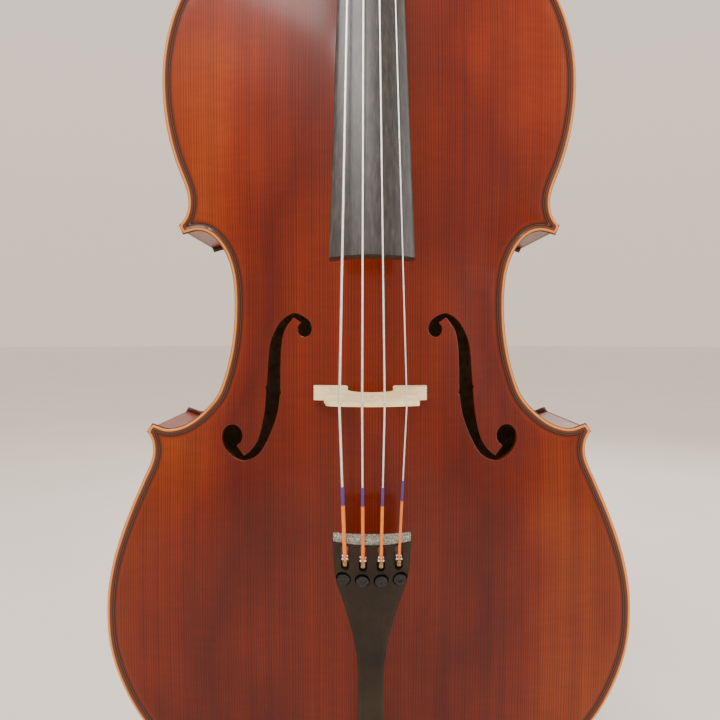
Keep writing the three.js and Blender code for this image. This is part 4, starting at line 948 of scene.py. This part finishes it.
def remeshed(obj, voxel, rounds):
    """Fuses a piece's overlapping shells and rounds the creases between them."""
    fuse = obj.modifiers.new("fuse", "REMESH")
    fuse.mode = "VOXEL"
    fuse.voxel_size = voxel * MM
    fuse.use_smooth_shade = True
    soften = obj.modifiers.new("soften", "SMOOTH")
    soften.factor = 0.5
    soften.iterations = rounds
    bpy.context.view_layer.update()
    mesh = bpy.data.meshes.new_from_object(obj.evaluated_get(bpy.context.evaluated_depsgraph_get()))
    obj.modifiers.clear()
    obj.data = mesh


shaft = piece("neck_and_heel", *joined(neck_shaft(), heel()), NECK_VARNISH, "maple_varnish",
              replaces=["neck"])
remeshed(shaft, 1.5, 14)
piece("head_and_scroll", *joined(pegbox(), scroll(), scroll_eye(1), scroll_eye(-1)), NECK_VARNISH,
      "maple_varnish", replaces=["neck"], sharp=30)


def fingerboard():
    sections = []
    places = [NECK_LENGTH - GAP, *np.linspace(NECK_LENGTH - 4, 24, 22),
              *np.linspace(12, BOARD_END + 1, 40), BOARD_END + 0.3, BOARD_END]
    for along in places:
        half = board_half(along)
        end = 0.7 if along == BOARD_END else 0.0
        t = np.clip(-along / 40, 0, 1)
        hollow = 7 * t * t * (3 - 2 * t)
        across = np.linspace(-half + 0.7, half - 0.7, 27)
        top = [(x, crown(x, BOARD_RADIUS) + end) for x in across]
        edge = crown(half, BOARD_RADIUS)
        under = [(x, board_under(along) - end - hollow * max(0, 1 - (x / (half - 5)) ** 2))
                 for x in across[::-1]]
        rim = [(half - end, edge + 0.8), (half - end, board_under(along) - 0.7)]
        whole = [*top, *rim, *under, *[(-x, depth) for x, depth in rim[::-1]]]
        sections.append(np.array([neck_point(x, depth, along) for x, depth in whole]))
    return loft(sections)


def nut():
    sections = []
    for x in np.linspace(-15.5, 15.5, 63):
        groove = sum(0.8 * math.exp(-((x - entry["nut"]) / 0.7) ** 2) for entry in STRINGS)
        top = crown(x, BOARD_RADIUS) - NUT_HEIGHT + groove
        bottom = board_under(NECK_LENGTH) - GAP / 2
        front, back = NECK_LENGTH + GAP, NECK_LENGTH + 5.8
        shape = [(bottom, front), (top + 1, front), (top + 0.3, front + 0.5), (top, front + 1.6),
                 (top + 0.4, front + 3), (top + 1.2, back - 1), (top + 2.4, back), (bottom, back)]
        sections.append(np.array([neck_point(x, depth, along) for depth, along in shape]))
    return loft(sections)


piece("board", *fingerboard(), BOARD_EBONY, "ebony", replaces=["fingerboard"], sharp=50)
piece("top_nut", *nut(), FITTING_EBONY, "ebony", replaces=["nut"], sharp=50)


# ---------- pegs ----------

PEG_RADIUS, PEG_TAPER, PEG_DEPTH = 6.9, 0.033, 15.0
WALL_CLEARANCE = 1.6


def peg_place(entry):
    along = NECK_LENGTH + entry["peg"]
    return profile(HEAD_FRONT, along) + PEG_DEPTH, along, profile(HEAD_WIDTH, along)


def peg(entry):
    depth, along, half = peg_place(entry)
    side = 1 if entry["nut"] > 0 else -1
    far = -half + 1
    shaft_rings = [(far, 0.6, 1)] + [(x, PEG_RADIUS - PEG_TAPER * (half + 1 - x), 1)
                                     for x in np.linspace(far + 0.01, half + 1, 12)]
    collar = [(half + 1.1, 7.9, 1), (half + 1.5, 8.4, 1), (half + 2.6, 8.6, 1), (half + 3.0, 8.0, 1),
              (half + 3.4, 8.0, 1), (half + 3.8, 8.6, 1), (half + 4.9, 8.4, 1), (half + 5.4, 7.4, 1)]
    head = spline([(half + 6, 6.8, 1), (half + 12, 6.2, 0.98), (half + 18, 12, 0.62), (half + 28, 18.5, 0.4),
                   (half + 38, 16.4, 0.37), (half + 43, 10.5, 0.42), (half + 45.2, 4.2, 0.8)], 8)
    pip = [(half + 45.6, 2.2, 1), (half + 46.2, 2.9, 1), (half + 47.2, 3.2, 1), (half + 48, 2.5, 1),
           (half + 48.5, 0.6, 1)]
    angles = np.linspace(0, 2 * math.pi, 36, endpoint=False)
    middle = neck_point(0, depth, along)
    return loft([middle + np.column_stack([np.full(36, side * x), r * flat * np.cos(angles),
                                           r * np.sin(angles)])
                 for x, r, flat in [*shaft_rings, *collar, *head, *pip]])


def string_at_peg(entry):
    depth, along, half = peg_place(entry)
    x = entry["nut"] * 0.62
    shaft_radius = PEG_RADIUS - PEG_TAPER * (half - abs(x))
    return x, depth, along, shaft_radius


def peg_winding(entry):
    """Turns of string round the peg, from where the string meets it towards the peg's head."""
    x, depth, along, shaft_radius = string_at_peg(entry)
    side = 1 if entry["nut"] > 0 else -1
    pitch = 2.15 * entry["radius"]
    turns = (profile(HOLLOW_WIDTH, along) - abs(x) - entry["radius"] - WALL_CLEARANCE) / pitch
    middle = neck_point(0, depth, along)
    path = []
    for t in np.linspace(0, turns, int(turns * 28)):
        angle = 2 * math.pi * t
        r = shaft_radius + entry["radius"] * 0.95
        path.append(middle + [x + side * pitch * t, -r * math.cos(angle), r * math.sin(angle)])
    return tube(path, entry["radius"], 8)


for entry in STRINGS:
    name = entry["name"]
    piece(f"tuning_peg_{name}", *peg(entry), FITTING_EBONY, "ebony", f"peg_{name}", [f"peg_{name}"])
    piece(f"winding_{name}", *peg_winding(entry), STRING_WIRE, "string_steel", f"peg_{name}", sharp=80)


# ---------- bridge ----------

BRIDGE_Z = BODY_TOP - STOP_LENGTH


def string_at_nut(entry):
    over = NUT_HEIGHT + entry["radius"] + GAP
    return neck_point(entry["nut"], crown(entry["nut"], BOARD_RADIUS) - over, NECK_LENGTH + 2)


def string_at_bridge(entry):
    start = string_at_nut(entry)
    over = neck_point(entry["board"], crown(entry["board"], BOARD_RADIUS) - entry["lift"], BOARD_END)
    part = (start[2] - BRIDGE_Z) / (start[2] - over[2])
    return np.array([entry["bridge"], mix(start[1], over[1], part), BRIDGE_Z])


def bridge():
    def footing(x):
        return EDGE_THICKNESS + float(arch(np.array([float(x)]), np.array([BRIDGE_Z]), TOP_ARCH)[0]) + 0.15

    base = footing(0)
    under = [(entry["bridge"], -RIB_HALF_HEIGHT - string_at_bridge(entry)[1] - entry["radius"] - 0.2)
             for entry in STRINGS]
    corner = 28.0
    top_line = [(-corner, under[0][1] - 3.2), *under, (corner, under[3][1] - 3.2)]
    legs = spline([(0, 38), (8, 36.5), (14, 32), (17.5, 25), (17.6, 14), (17.5, 6)], 6)
    toe = [(17.9, 3.2)]
    sole = [(x, footing(x) - base) for x in np.linspace(19, 44, 12)]
    flank = spline([(44.5, 0.6), (43.2, 3), (36, 7.5), (30.5, 15), (28.5, 27), (30, 38),
                    (33.4, 44.5), (33.8, 49.5), (30, 53.5), (22.5, 55), (18.5, 59), (19.5, 64),
                    (25, 66.5), (30.5, 67.4), (32, 71.5), (31, 78)], 6)
    half = np.array([*legs, *toe, *sole, *flank]) + [0, base]
    top = np.array([(x, profile(top_line, x)) for x in np.linspace(corner, -corner, 30)])
    loop = np.vstack([half, top, (half[1:] * [-1, 1])[::-1]])
    angles = np.linspace(0, 2 * math.pi, 44, endpoint=False)
    heart = np.column_stack([7.4 * np.sin(angles) ** 3 * 0.95,
                             base + 60 + 0.5 * (13 * np.cos(angles) - 5 * np.cos(2 * angles)
                                                - 2 * np.cos(3 * angles) - np.cos(4 * angles))])
    grid = np.array([(x, h) for x in np.arange(-46, 46, 3.0) for h in np.arange(0, 125, 3.0)])
    grid = grid[inside(grid, loop) & ~inside(grid, heart)]
    grid = grid[(distance_to(grid, loop, True) > 1.3) & (distance_to(grid, heart, True) > 1.3)]
    points, triangles = triangulated(loop, [heart], grid)
    full = under[1][1] - base
    part = np.clip((points[:, 1] - base) / full, 0, 1)
    thickness = mix(11.4, 2.7, part ** 0.9)

    def face(sign):
        return lambda flat: np.column_stack([flat[:, 0], -RIB_HALF_HEIGHT - flat[:, 1],
                                             BRIDGE_Z + sign * thickness / 2])

    return two_sided(points, triangles, face(1), face(-1))[:2]


piece("string_bridge", *bridge(), BRIDGE_WOOD, "bridge_wood", replaces=["bridge"], bevel=0.45)


# ---------- tailpiece ----------

TAIL_COS, TAIL_SIN = math.cos(TAIL_TILT), math.sin(TAIL_TILT)


def tail_point(x, depth, along):
    return np.stack([x + 0 * depth, -RIB_HALF_HEIGHT - TAIL_RISE + depth * TAIL_COS + along * TAIL_SIN,
                     BODY_TOP - TAIL_TOP + depth * TAIL_SIN - along * TAIL_COS], axis=-1)


TAIL_WIDTH = [(0, 28.4), (20, 27.6), (38, 25.9), (58, 20), (82, 14), (103, 10.9), (117, 10), (190, 10),
              (225, 11.5), (235, 10.5)]
TAIL_THICKNESS = [(0, 6.5), (12, 9.5), (50, 9.5), (110, 8.5), (235, 8.5)]
slot_x = [(i - 1.5) * SLOT_SPACING for i in range(4)]
screw_x = [(i - 1.5) * SCREW_SPACING for i in range(4)]


def tail_crown(x):
    return crown(x, TAIL_RADIUS)


def circle(x, z, radius, count):
    angles = np.linspace(0, 2 * math.pi, count, endpoint=False)
    return np.column_stack([x + radius * np.cos(angles), z + radius * np.sin(angles)])


def tail_slot(x):
    ends = [(SLOT_START + SLOT_HALF, math.pi), (SLOT_END - SLOT_HALF, 0)]
    return np.vstack([[(x + SLOT_HALF * math.cos(a + turn), at + SLOT_HALF * math.sin(a + turn))
                       for a in np.linspace(0, math.pi, 11)] for at, turn in ends])


def tailpiece():
    places = np.concatenate([[0.0, 0.5], np.linspace(2, 232, 116), [234.3, TAIL_LENGTH]])
    halves = np.array([profile(TAIL_WIDTH, along) for along in places])
    halves[0] -= 0.9
    halves[-1] -= 0.9
    right = np.column_stack([halves, places])
    top = np.column_stack([np.linspace(-halves[0], halves[0], 24)[1:-1], np.zeros(22)])
    loop = np.vstack([right, mirrored(right), top])
    holes = [tail_slot(x) for x in slot_x] + [circle(x, SCREW_AT, SCREW_HOLE, 18) for x in screw_x]
    grid = np.array([(x, along) for x in np.arange(-28, 28.1, 2.0) for along in np.arange(1.2, 234, 2.5)])
    rings = [circle(x, SCREW_AT, r, 40) for x in screw_x for r in (SCREW_RECESS, SCREW_RECESS - 0.25)]
    grid = grid[inside(grid, loop) & (distance_to(grid, loop, True) > 1.0)]
    for hole in holes:
        grid = grid[~inside(grid, hole) & (distance_to(grid, hole, True) > 0.8)]
    for x in screw_x:
        grid = grid[np.abs(np.hypot(grid[:, 0] - x, grid[:, 1] - SCREW_AT) - SCREW_RECESS) > 0.9]
    points, triangles = triangulated(loop, holes, np.vstack([grid, *rings]))
    x, along = points.T
    half = np.array([profile(TAIL_WIDTH, place) for place in along])
    thickness = np.array([profile(TAIL_THICKNESS, place) for place in along])
    rim = distance_to(points, loop, True)
    rounded = 1.1 * np.clip(1 - rim / 1.3, 0, 1) ** 2
    front = tail_crown(x) + rounded
    for place in screw_x:
        recessed = np.hypot(x - place, along - SCREW_AT) < SCREW_RECESS - 0.1
        front = np.where(recessed, tail_crown(place) + RECESS_DEPTH, front)
    back = tail_crown(x) + thickness * (1 - 0.45 * np.clip(x / half, -1, 1) ** 2)
    return two_sided(points, triangles, lambda flat: tail_point(x, front, along),
                     lambda flat: tail_point(x, back, along))[:2]


def tail_fret():
    """The speckled bar let into the tailpiece's upper end."""
    sections = []
    for x in np.linspace(-27.6, 27.6, 45):
        deep = 6.2 * (1 - 0.45 * (x / 28.4) ** 2)
        shape = [(deep, -0.35), (0.5, -0.4), (-0.2, 0.1), (-0.45, 1.2), (-0.5, 2.6), (-0.35, 3.8),
                 (0.1, 4.8), (1.2, 5.2), (2.4, 4.8), (deep, 0.4)]
        sections.append(np.array([tail_point(x, tail_crown(x) + depth, along) for depth, along in shape]))
    return loft(sections)


piece("tail_body", *tailpiece(), COMPOSITE, "composite", replaces=["tailpiece"], sharp=45)
piece("tail_end_fret", *tail_fret(), GRANITE, "composite", sharp=50)


# ---------- tuners ----------

def on_tail(solid, x, depth, along):
    """Stands a solid of revolution up in the tailpiece, its +Z going down into it."""
    points, faces = solid
    points = np.array(points)
    return tail_point(x + points[:, 0], depth + points[:, 2], along + points[:, 1]), faces


def lever(i):
    lower = tail_crown(slot_x[i])
    top, arm = lower - 3, lower + ARM_DEPTH
    side_shape = spline([(FORK_AT + 2, top + 2.6), (FORK_AT + 2, lower + 3),
                         (PIVOT_AT + 2.3, lower + PIVOT_DEPTH),
                         (FORK_AT + 2.3, arm - 1.2), (24, arm), (30, arm), (SCREW_AT + 2.6, arm),
                         (SCREW_AT + 3.4, arm + 1.5), (SCREW_AT + 2.6, arm + 3), (26, arm + 3),
                         (FORK_AT + 0.5, arm + 2.8), (FORK_AT - 1.8, arm + 1), (FORK_AT - 2, lower + 4),
                         (FORK_AT - 2, top + 2.6), (FORK_AT, top + 2.4)], 4)
    loop = respaced(side_shape, 0.8)
    points, triangles = triangulated(loop, [], np.empty((0, 2)))
    x = slot_x[i]
    along, depth = points.T

    def face(sign):
        return lambda flat: tail_point(np.full(len(flat), x + sign * LEVER_HALF), depth, along)

    plate_part = two_sided(points, triangles, face(-1), face(1))[:2]
    prongs = []
    for side in (-1, 1):
        middle = x + side * (LEVER_HALF - 0.45)
        path = [tail_point(middle, lower + 3.5, FORK_AT), tail_point(middle, top + 1.2, FORK_AT),
                tail_point(middle, top + 0.2, FORK_AT - 0.3), tail_point(middle, top - 0.1, FORK_AT - 0.5)]
        prongs.append(tube(spline(path, 4), [*np.full(9, 0.75), *np.linspace(0.72, 0.3, 4)], 10))
    pad = turned([(0.3, 0), (2.9, 0), (3.2, 0.4), (3.2, 2.6), (2.9, 3), (0.3, 3)], 28)
    pad = on_tail(pad, screw_x[i], arm, SCREW_AT)
    return joined(plate_part, *prongs, pad)


def tuner_head(i):
    rings = [(0.4, 0.3), (1.6, 0.3), (1.7, 0), (3.6, 0), (4.5, 0.35), (4.8, 0.9), (4.8, 3.6), (4.5, 4.2),
             (2.4, 4.4), (0.4, 4.4)]
    knob = turned(rings, 144, 36, 0.35, (0.8, 3.7))
    return on_tail(knob, screw_x[i], tail_crown(screw_x[i]) - 1.8, SCREW_AT)


def tuner_shank(i):
    top = tail_crown(screw_x[i]) + 2.9
    bottom = tail_crown(slot_x[i]) + ARM_DEPTH - GAP
    length = bottom - top
    rings = [(0.3, 0), (1.6, 0)]
    for z in np.arange(0.3, length - 0.8, 0.6):
        rings += [(1.7, z), (1.38, z + 0.3)]
    rings += [(1.5, length - 0.5), (1.0, length - 0.1), (0.3, length)]
    return on_tail(turned(rings, 20), screw_x[i], top, SCREW_AT)


for i, entry in enumerate(STRINGS):
    name = entry["name"]
    piece(f"fork_{name}", *lever(i), STEEL, "steel", f"tuner_lever_{name}", [f"tuner_lever_{name}"])
    piece(f"screw_{name}", *tuner_shank(i), STEEL, "steel", f"tuner_shank_{name}", [f"tuner_shank_{name}"])
    piece(f"knob_{name}", *tuner_head(i), DARK_METAL, "dark_metal", f"tuner_head_{name}",
          [f"tuner_head_{name}"])


# ---------- strings ----------

SILK_STARTS = {"c": (458, 472), "g": (458, 472), "d": (458, 472), "a": (454, 469)}


def string_path(entry, i):
    x, depth, along, shaft_radius = string_at_peg(entry)
    end = neck_point(x, depth - shaft_radius - entry["radius"], along)
    behind = neck_point(entry["nut"], crown(entry["nut"], BOARD_RADIUS) - entry["radius"] - GAP,
                        NECK_LENGTH + 7)
    fork = tail_point(slot_x[i], tail_crown(slot_x[i]) - 1.5, FORK_AT + 1.2)
    return fork, string_at_bridge(entry), string_at_nut(entry), behind, end


def on_line(start, end, z):
    return mix(start, end, (z - start[2]) / (end[2] - start[2]))


for i, entry in enumerate(STRINGS):
    name, radius = entry["name"], entry["radius"]
    fork, over_bridge, over_nut, behind, at_peg = string_path(entry, i)
    violet, orange = (on_line(over_bridge, fork, BODY_TOP - s) for s in SILK_STARTS[name])
    before = on_line(over_bridge, fork, over_bridge[2] - 1.6)
    after = on_line(over_bridge, over_nut, over_bridge[2] + 1.6)
    sounding = [mix(after, over_nut, part) for part in np.linspace(0, 1, 12)]
    path = [violet, before, over_bridge + [0, 0.1, 0], *sounding, behind, at_peg]
    piece(f"string_{name}_wire", *tube(path, radius, 14), STRING_WIRE, "string_steel",
          replaces=[f"string_{name}"], sharp=80)
    silk = radius + 0.35
    path = [mix(violet, orange, part) for part in (0, 0.03, 0.5, 0.97, 1)]
    piece(f"string_{name}_violet", *tube(path, [radius, silk, silk, silk, silk], 14), SILK_BLUE,
          "string_steel", sharp=80)
    colour = SILK_YELLOW if name in "cd" else SILK_SALMON
    path = [mix(orange, fork, part) for part in np.linspace(0, 1, 24)]
    tail = piece(f"string_{name}_tail", *tube(path, silk + 0.1, 14), colour, "string_steel",
                 body=None, sharp=80)
    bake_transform(tail)
    ball = turned([(0.5, -2), (1.5, -2), (1.8, -1.6), (1.8, 1.6), (1.5, 2), (0.5, 2)], 24)
    ball_points = fork + ball[0] * 0.95 + [0, 0.6, -2.6]
    piece(f"string_{name}_ball", ball_points, ball[1], BRASS, "string_steel", f"tuner_lever_{name}")


# ---------- saddle, tailgut and endpin ----------

def saddle():
    front = -RIB_HALF_HEIGHT - EDGE_THICKNESS - SADDLE_HEIGHT
    back = -RIB_HALF_HEIGHT
    low, high = BODY_BOTTOM + 0.4, BODY_BOTTOM + SADDLE_DEPTH
    sections = []
    for x in np.linspace(-SADDLE_HALF, SADDLE_HALF, 41):
        drop = 5.5 * (abs(x) / SADDLE_HALF) ** 4
        shape = [(back, low), (front + 3 + drop, low), (front + 1.4 + drop, low + 0.6),
                 (front + 0.3 + drop, low + 1.6), (front + drop, low + 3),
                 (front + 0.3 + drop, high - 2), (front + 1.2 + drop, high - 1),
                 (front + 2.6 + drop, high - 0.2), (front + 4 + drop, high), (back, high)]
        sections.append(np.array([(x, min(y, back), z) for y, z in shape]))
    return loft(sections)


def tailgut():
    end = tail_point(6.0, tail_crown(6.0) + 4, TAIL_LENGTH - 1)
    over = -RIB_HALF_HEIGHT - EDGE_THICKNESS - SADDLE_HEIGHT - 1.5
    under = BODY_BOTTOM - 0.9
    loop = 12.0
    half = [end, (7, mix(end[1], over, 0.7), mix(end[2], BODY_BOTTOM + 6, 0.7)),
            (7.5, over, BODY_BOTTOM + 3), (8, over + 2, BODY_BOTTOM - 1.4), (8.5, over + 8, under - 1.6),
            (9.5, -50, under - 0.9), (11, -26, under), (loop, 0, under), (loop * 0.71, loop * 0.71, under)]
    other = [(-x, y, z) for x, y, z in half[::-1]]
    return tube(spline([*half, (0, loop, under), *other], 12), 1.3, 14)


COLLAR = [(5.35, 112), (11.2, 112), (12, 66), (10.5, 64), (10.5, 59.5), (14.4, 59), (15.4, 58.4), (16, 57.2),
          (16, 56.2), (15.4, 54.4), (14.6, 53.2), (12, 52.4), (9.5, 51.8), (9.5, 51.2), (9.0, 50.8),
          (9.0, 49.6), (9.5, 49.2), (9.5, 35.4), (9.2, 34.6), (8.6, 34), (5.35, 34)]
COLLAR_RING = [(5.35, 51.6), (9.7, 51.6), (9.9, 51.2), (9.9, 35.6), (9.5, 34.4), (8.8, 33.9), (5.35, 33.9)]
ROD = [(0.3, 8.4), (5, 8.4), (5, 466.5), (4.7, 467.4), (3.5, 468), (0.3, 468)]
TIP = [(0.3, 0), (6.8, 0), (8.2, 0.6), (9.6, 2.2), (10.2, 4.5), (10.4, 9), (9.9, 9.6), (9.9, 10.6),
       (10.5, 11.2), (10.4, 14), (9.9, 14.6), (9.9, 15.6), (10.1, 16.2), (9.2, 21), (8.5, 23.4),
       (7.6, 24), (5.4, 24), (5.3, 8), (0.3, 8)]
THUMBSCREW = [(0.3, 5.4), (2.0, 5.4), (2.3, 5.8), (2.3, 11), (6.4, 11.3), (7.3, 11.9), (7.5, 12.6),
              (7.5, 17.4), (7.2, 18.2), (6.4, 19), (3.4, 19.4), (0.3, 19.4)]

piece("end_saddle", *saddle(), FITTING_EBONY, "ebony", replaces=["saddle"], sharp=50)
piece("tail_cord", *tailgut(), CORD, "cord", replaces=["tailgut"], sharp=80)
piece("pin_collar", *bored(COLLAR, 64), FITTING_EBONY, "ebony", replaces=["endpin_collar"], sharp=30)
piece("pin_ferrule", *bored(COLLAR_RING, 64), STEEL, "steel", sharp=30)
piece("pin_rod", *turned(ROD, 40), STEEL, "steel", "endpin", ["endpin_rod"])
piece("pin_tip", *turned(TIP, 64), RUBBER, "rubber", "endpin", ["endpin_tip"], sharp=50)
screw_points, screw_faces = turned(THUMBSCREW, 120, 24, 0.55, (12.2, 17.8))
screw_points = np.column_stack([screw_points[:, 2], screw_points[:, 1], screw_points[:, 0] + 43])
piece("pin_thumbscrew", screw_points, screw_faces, DARK_METAL, "dark_metal", "thumbscrew",
      ["endpin_thumbscrew"])

# The pieces inside the body keep their modelled shape and get bare wood.
for node_name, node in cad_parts.items():
    if not node.hide_render:
        node.data.materials.clear()
        long_grain = node_name in ("bass_bar", "sound_post")
        node.data.materials.append(INNER_SPRUCE if long_grain else INNER_WILLOW)


# ---------- floor, light and camera ----------

def floor():
    size, rings, spokes = 24000.0, 8, 48
    angles = np.linspace(0, 2 * math.pi, spokes, endpoint=False)
    points = [(r * math.cos(a), r * math.sin(a), 0)
              for r in np.linspace(size / rings, size, rings) for a in angles]
    faces = [tuple(range(spokes))]
    for k in range(rings - 1):
        faces += [(k * spokes + i, k * spokes + (i + 1) % spokes, (k + 1) * spokes + (i + 1) % spokes,
                   (k + 1) * spokes + i) for i in range(spokes)]
    s = Shader("pale_floor")
    tone = s.noise(3.0, (1, 1, 1), 3)
    material = s.finish(s.ramp(tone, [(0.3, (0.78, 0.73, 0.67)), (0.7, (0.82, 0.77, 0.71))]), 0.7)
    mesh = bpy.data.meshes.new("floor")
    mesh.from_pydata([tuple(v * MM for v in point) for point in points], [], faces)
    mesh.materials.append(material)
    made = bpy.data.objects.new("floor", mesh)
    bpy.context.scene.collection.objects.link(made)


def softbox(name, place, target, size, power, colour=(1, 1, 1)):
    light = bpy.data.lights.new(name, "AREA")
    light.shape = "RECTANGLE"
    light.size, light.size_y = size
    light.energy = power
    light.color = colour
    made = bpy.data.objects.new(name, light)
    bpy.context.scene.collection.objects.link(made)
    made.location = place
    made.rotation_euler = (Vector(target) - Vector(place)).to_track_quat("-Z", "Y").to_euler()


floor()
softbox("key", (-0.7, -1.2, 2.2), (0, 0, 0.75), (1.2, 0.9), 44, (1, 0.985, 0.96))
softbox("fill", (1.9, -0.9, 1.4), (0, 0, 0.6), (1.3, 1.8), 20)
softbox("back", (0.7, 1.8, 1.7), (0, 0, 0.7), (1.4, 1.2), 26)
softbox("lamp", (-0.11, -1.10, 1.35), (0, 0, 0.7), (0.08, 0.08), 1.6, (1, 0.98, 0.95))

HORIZON = (1.08, 0.86, 0.70, 1)
OVERHEAD = (1.14, 0.98, 0.86, 1)


def studio_sky():
    """Even light all round, a little brighter overhead, that meets the floor at the same tone."""
    world = bpy.data.worlds.new("studio")
    bpy.context.scene.world = world
    world.use_nodes = True
    tree = world.node_tree
    split = tree.nodes.new("ShaderNodeSeparateXYZ")
    ramp = tree.nodes.new("ShaderNodeValToRGB")
    tree.links.new(tree.nodes.new("ShaderNodeTexCoord").outputs["Generated"], split.inputs[0])
    tree.links.new(split.outputs["Z"], ramp.inputs["Fac"])
    tree.links.new(ramp.outputs["Color"], tree.nodes["Background"].inputs["Color"])
    for element, (place, colour) in zip(ramp.color_ramp.elements, [(0.0, HORIZON), (0.5, OVERHEAD)]):
        element.position = place
        element.color = colour


studio_sky()

lens = bpy.data.cameras.new("camera")
lens.sensor_width = 36
lens.lens = 33.3
lens.shift_y = -0.0133
camera = bpy.data.objects.new("camera", lens)
bpy.context.scene.collection.objects.link(camera)
camera.location = (-0.012, -0.61015, 0.465)
camera.rotation_euler = (math.radians(88.5), 0, math.radians(-0.43))
bpy.context.scene.camera = camera
